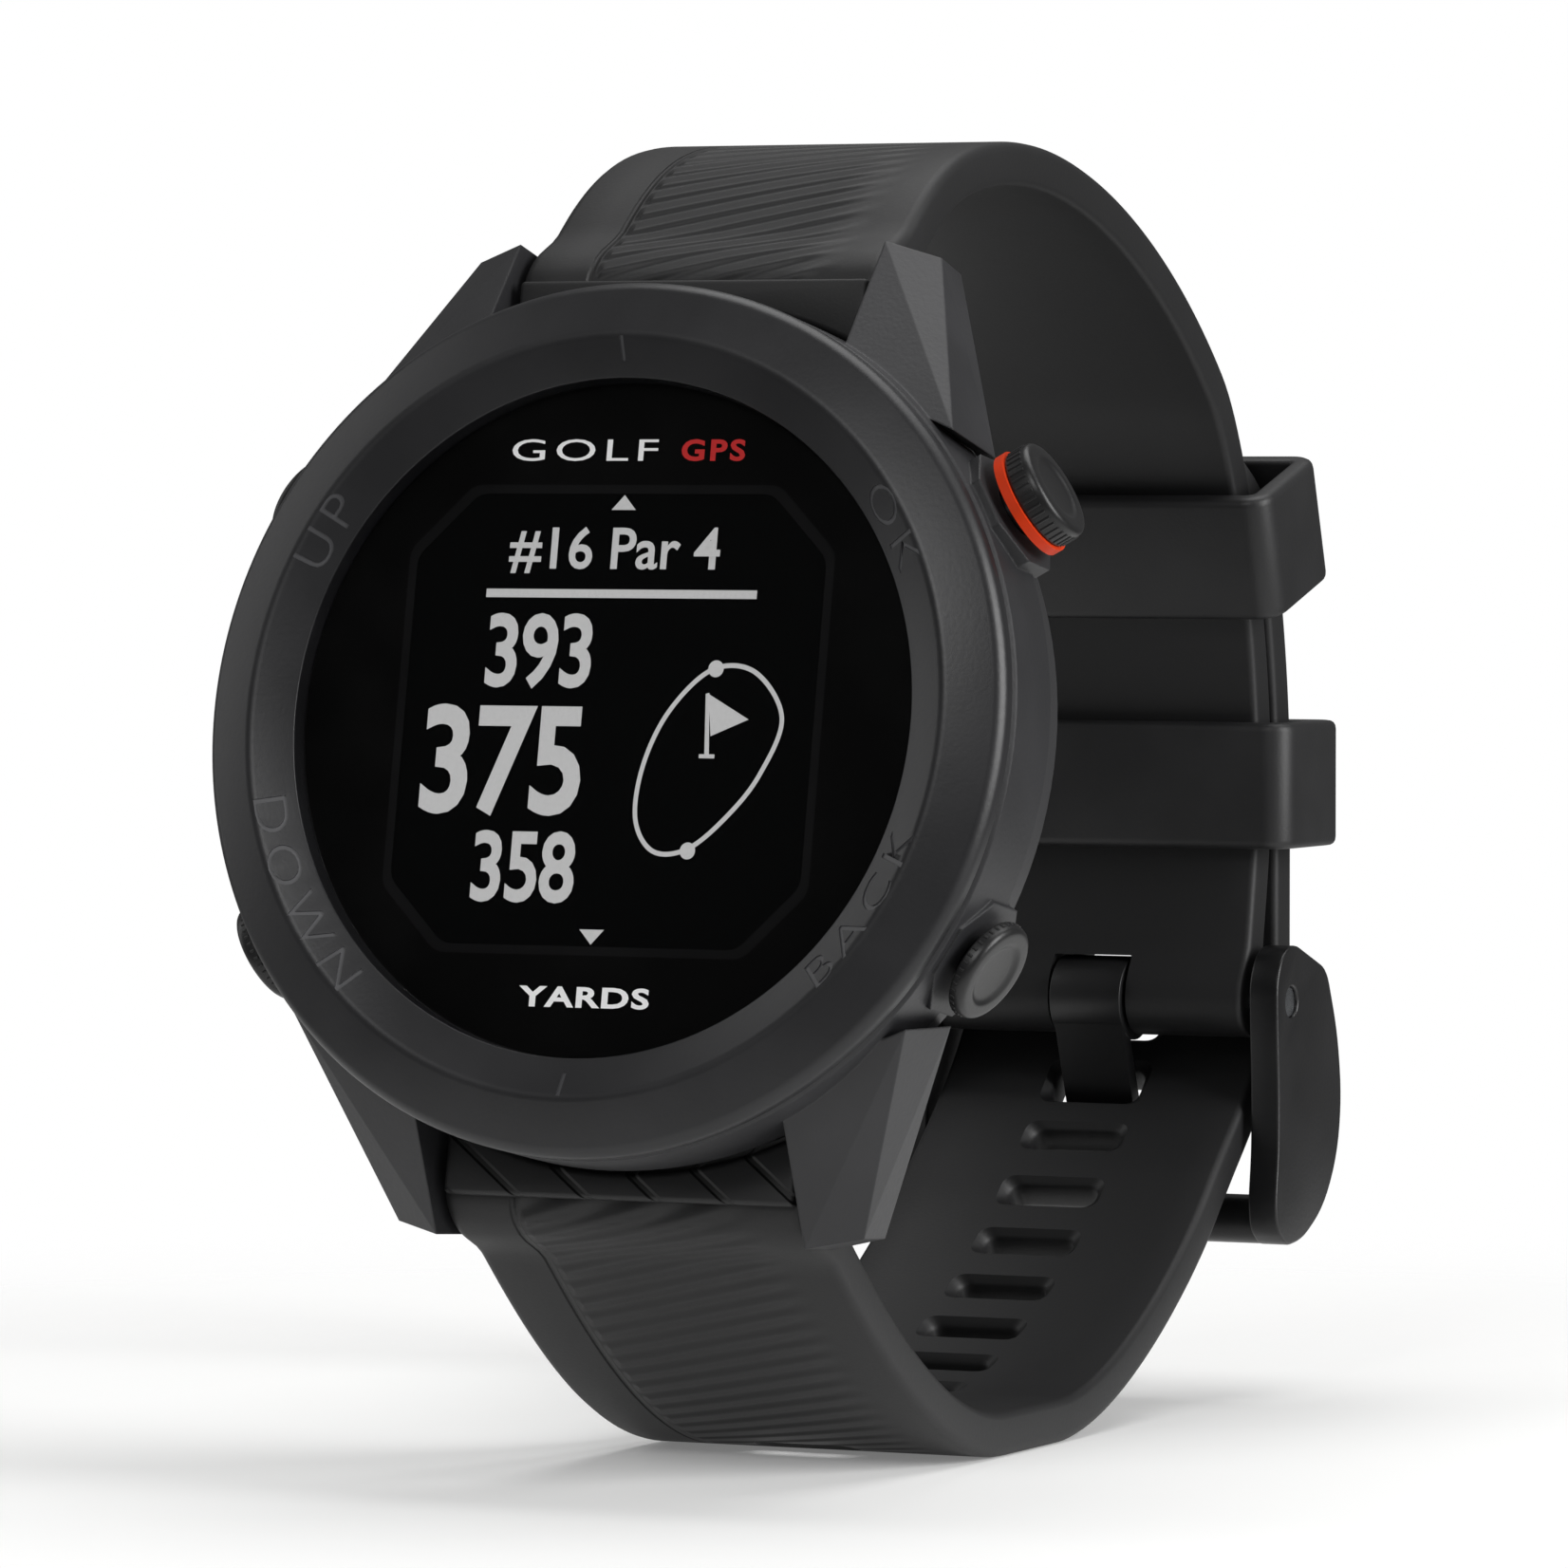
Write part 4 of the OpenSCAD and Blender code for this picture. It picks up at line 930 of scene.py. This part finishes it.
KNOB_LEFT, KNOB_RIGHT = STRAP_W / 2 - 5.6, STRAP_W / 2 - 2.65
upper_look = silicone("upper_silicone", -RIB_SLANT, 24)
upper_strap = strap_skin("upper_strap_skin", upper_line, 1, True, upper_look)
cut(upper_strap, rod("bore", upper_bar, BAR_BORE, 12))
cut(upper_strap, rod("bore", buckle_at, BUCKLE_BORE, 12))
cut(upper_strap, window("knob_window", upper_bar, (0.69, -0.72), KNOB_LEFT, KNOB_RIGHT, 1.0, 6))
EYE_ROOM, EYE_TOP = 2.32, 2.4
eye_room = rounded([(-EYE_ROOM, -4), (EYE_ROOM, -4), (EYE_ROOM, EYE_TOP), (-EYE_ROOM, EYE_TOP)], 0.1)
from_back = LOOP @ Matrix(((1, 0, 0, 0), (0, 0, 1, buckle_at.x), (0, 1, 0, buckle_at.y),
                           (0, 0, 0, 1)))
cut(upper_strap, lofted("eye_room", [(eye_room, -6), (eye_room, 6)], from_back))
smooth(upper_strap.data)
give(upper_strap, upper_look)
settle(upper_strap, "root", "upper_strap")

lower_look = silicone("lower_silicone", RIB_SLANT, 42)
lower_strap = strap_skin("lower_strap_skin", lower_line, -1, False, lower_look)
SLOT_W, SLOT_L, SLOT_OPEN, SLOT_PITCH = 5.2, 1.5, 2.4, 4.2
TONGUE_TURN = math.radians(20)
tongue_way = Vector((math.sin(TONGUE_TURN), -math.cos(TONGUE_TURN)))
EYE_R, TONGUE_W, TONGUE_T, TONGUE_L = 2.3, 4.2, 1.0, 11.4
tongue_at = Vector((-(EYE_R - TONGUE_T / 2), 0))
tongue_from = buckle_at + tongue_at
buckled = min((abs((lower_line.at(s) - tongue_from).dot(left_of(tongue_way))), s)
              for s in (lower_line.whole * 0.45 + 0.02 * k for k in range(1600)))[1]


def slot_outline(grow, tall):
    w, l = SLOT_W / 2 + grow, tall / 2 + grow * 0.8
    return rounded([(-w, -l), (w, -l), (w, l), (-w, l)], 0.85, parts=6)


SLOTS_BEFORE, SLOTS_AFTER = 10, 3
slot_tools = []
for k in range(-SLOTS_BEFORE, SLOTS_AFTER + 1):
    place = across_strap(lower_line, buckled + k * SLOT_PITCH, -1)
    tall = SLOT_OPEN if k == 0 else SLOT_L
    levels = [(slot_outline(grow, tall), depth) for grow, depth in (
        (0.55, -STRAP_T / 2 - 0.1), (0.42, -STRAP_T / 2 + 0.04), (0.12, -STRAP_T / 2 + 0.28),
        (0, -STRAP_T / 2 + 0.55), (0, STRAP_T / 2 - 0.45), (0.3, STRAP_T / 2 + 0.02),
        (0.36, STRAP_T / 2 + 0.1))]
    slot_tools.append(lofted("slot_tool", levels, place))
cut(lower_strap, joined("slot_tools", slot_tools))
cut(lower_strap, rod("bore", lower_bar, BAR_BORE, 12))
cut(lower_strap, window("knob_window", lower_bar, (0.73, 0.68), KNOB_LEFT, KNOB_RIGHT, 1.0, 6))
smooth(lower_strap.data)
give(lower_strap, lower_look)
settle(lower_strap, "root", "lower_strap")

notched = Finish("strap_end_silicone", "#161617", 0.5)
notch_x, notch_y, notch_z = notched.split(notched.place)
notch = ((notch_x + notch_z * 1.3) * (1 / (3.9 * MM))).fraction()
notch_groove_and_painted_shade = 1 - abs(notch - 0.5).step(0.04, 0.1)
# Painted shade: the notch grooves are tinted almost black, as if in shadow, and the bump below also
# presses them in.
notched.tint(notch_groove_and_painted_shade, (0.002, 0.002, 0.002))
notched.set("Roughness", 0.46 + 0.1 * notched.noise(3.0))
notched.bump(0 - notch_groove_and_painted_shade, 0.25, under=notched.bump(notched.noise(0.16, 3.0), 0.007))


def bevelled(obj, width, parts=3, angle=30):
    """Rounds the sharp edges of a plain solid."""
    easing = obj.modifiers.new("ease", "BEVEL")
    easing.width, easing.segments, easing.limit_method = width * MM, parts, "ANGLE"
    easing.angle_limit = math.radians(angle)
    mesh = bpy.data.meshes.new_from_object(obj.evaluated_get(bpy.context.evaluated_depsgraph_get()))
    obj.modifiers.clear()
    obj.data = mesh
    smooth(mesh, 50)


LIP_X, LIP_Y = 9.7, 23.2


def end_lip(name, side, look):
    """The strap's end, hollowed to follow the round case."""
    levels = []
    for n, r in ((-9.9, 20.4), (-7.6, 21.5), (-6.3, 21.95)):
        xs = [-LIP_X + 2 * LIP_X * k / 24 for k in range(25)]
        inner = [(x, side * math.sqrt(r * r - x * x)) for x in xs]
        levels.append((inner + [(LIP_X, side * LIP_Y), (-LIP_X, side * LIP_Y)], n))
    lip = lofted(name, levels, HEAD)
    give(lip, look)
    bevelled(lip, 0.25)
    settle(lip, "root")


end_lip("lower_strap_end", -1, notched.look)
plain_end_look = moulded("plain_end_silicone", "#0e0e0f", 0.6, grain=0.16, depth=0.007)
end_lip("upper_strap_end", 1, plain_end_look)

# ---- Keepers ----
# Two moulded silicone loops round both layers of the strap, with softly rounded rims.
KEEPER_W, KEEPER_WALL, KEEPER_SLACK = 6.9, 1.2, 0.45
KEEPER_X, KEEPER_Y = STRAP_W / 2 + 0.35, (STRAP_T + LAYER) / 2 + KEEPER_SLACK
keeper_look = moulded("keeper_silicone", "#19191a", 0.48, grain=0.16, depth=0.008)


def hoop(name, half_x, half_y, wall, wide, place, look):
    """A band of even wall round a rounded rectangle, with rounded rims."""
    shape = bmesh.new()
    section = rounded([(-wide / 2, 0), (-wide / 2, wall), (wide / 2, wall), (wide / 2, 0)],
                      [0.3, 0.5, 0.5, 0.3])
    rings, path, corner = [], [], 1.5
    flat_x, flat_y = half_x - corner, half_y - corner
    for cx, cy, first in ((flat_x, flat_y, 0), (-flat_x, flat_y, 90), (-flat_x, -flat_y, 180),
                          (flat_x, -flat_y, 270)):
        for k in range(9):
            a = math.radians(first + 90 * k / 8)
            path.append((cx, cy, math.cos(a), math.sin(a)))
    for cx, cy, ca, sa in path:
        ring = []
        for z, out in section:
            r = corner - wall + out
            ring.append(shape.verts.new((cx + r * ca, cy + r * sa, z)))
        rings.append(ring)
    for i in range(len(rings)):
        here, there = rings[i], rings[(i + 1) % len(rings)]
        for j in range(len(section)):
            k = (j + 1) % len(section)
            shape.faces.new((here[j], here[k], there[k], there[j]))
    mesh = as_mesh(name, shape)
    smooth(mesh, 40)
    return as_object(name, mesh, look, place)


KEEPER_AT, LOWER_KEEPER_Z = 0.47, -5.2
upper_way = slope_at(tail_curve, KEEPER_AT)
upper_mid = curve_at(tail_curve, KEEPER_AT) + left_of(upper_way) * LAYER / 2
for name, at, way in (("upper_keeper", upper_mid, upper_way),
                      ("lower_keeper", Vector((back + LAYER / 2, LOWER_KEEPER_Z)), Vector((0, -1)))):
    n = left_of(way)
    turn = Matrix(((1, 0, 0, 0), (0, n.x, way.x, at.x), (0, n.y, way.y, at.y), (0, 0, 0, 1)))
    made = hoop(name + "_loop", KEEPER_X + KEEPER_WALL, KEEPER_Y + KEEPER_WALL, KEEPER_WALL, KEEPER_W,
                LOOP @ turn, keeper_look)
    settle(made, name, name)

# ---- Buckle and tongue ----
# A moulded frame of two rounded arms and a crossbar that turns on a steel bar, with a flat tongue
# whose eye wraps the bar.
buckle_look = moulded("buckle_plastic", "#111112", 0.36, grain=0.22, depth=0.008)
ARM_IN, ARM_T = END_W / 2 + 0.5, 1.7
arm_points = [(-2.1, 1.2), (-1.2, 2.7), (0.4, 3.2), (5.0, 1.6), (6.6, -2.0), (7.2, -5.6), (6.6, -8.8),
              (4.6, -11.6), (1.6, -13.1), (-0.6, -13.3), (-1.9, -12.4), (-2.2, -10.9), (-1.8, -8.0),
              (-1.8, -4.6), (-2.0, -1.6)]
arm_radii = [1.2, 1.2, 1.2, 0.9, 1.6, 1.6, 1.6, 1.6, 1.2, 0.6, 0.6, 0.8, 1.2, 1.2, 1.0]
arm_outline = rounded(arm_points, arm_radii, parts=5)
from_side = LOOP @ Matrix(((0, 0, 1, 0), (1, 0, 0, buckle_at.x), (0, 1, 0, buckle_at.y), (0, 0, 0, 1)))
for side, name in ((1, "buckle_arm_right"), (-1, "buckle_arm_left")):
    inside, outside = sorted((side * ARM_IN, side * (ARM_IN + ARM_T)))
    arm = lofted(name, [(arm_outline, inside), (arm_outline, outside)], from_side)
    cut(arm, rod("bore", buckle_at, BUCKLE_BORE, 14))
    bevelled(arm, 0.42, 4)
    give(arm, buckle_look)
    settle(arm, "buckle", "buckle_frame")
CROSSBAR_R, CROSSBAR_AT = 1.33, Vector((-0.2, -11.9))
crossbar = rod("buckle_crossbar", buckle_at + CROSSBAR_AT, CROSSBAR_R, ARM_IN + 0.3)
smooth(crossbar.data)
give(crossbar, buckle_look)
settle(crossbar, "buckle")

tongue_look = moulded("tongue_plastic", "#151516", 0.38, grain=0.2, depth=0.006)
blade = [(-TONGUE_T / 2, 0), (TONGUE_T / 2, 0), (TONGUE_T / 2, -TONGUE_L + 0.6), (0, -TONGUE_L),
         (-TONGUE_T / 2, -TONGUE_L + 0.4)]
turn = Matrix.Rotation(TONGUE_TURN, 2)
blade_loop = [tuple(tongue_at + turn @ Vector(p)) for p in rounded(blade, [0, 0, 0.4, 0.4, 0.4])]
blade_half = TONGUE_W / 2 - 0.1
blade_solid = lofted("tongue_blade", [(blade_loop, -blade_half), (blade_loop, blade_half)], from_side)
eye = circle(0, 0, EYE_R)
tongue = lofted("tongue_eye", [(eye, -TONGUE_W / 2), (eye, TONGUE_W / 2)], from_side)
adding = tongue.modifiers.new("add", "BOOLEAN")
adding.operation, adding.solver, adding.object = "UNION", "EXACT", blade_solid
tongue.data = bpy.data.meshes.new_from_object(tongue.evaluated_get(bpy.context.evaluated_depsgraph_get()))
tongue.modifiers.clear()
bpy.data.objects.remove(blade_solid)
cut(tongue, rod("bore", buckle_at, BUCKLE_BORE, 8))
bevelled(tongue, 0.28, angle=40)
tongue.name = "tongue"
give(tongue, tongue_look)
settle(tongue, "tongue", "buckle_tongue")
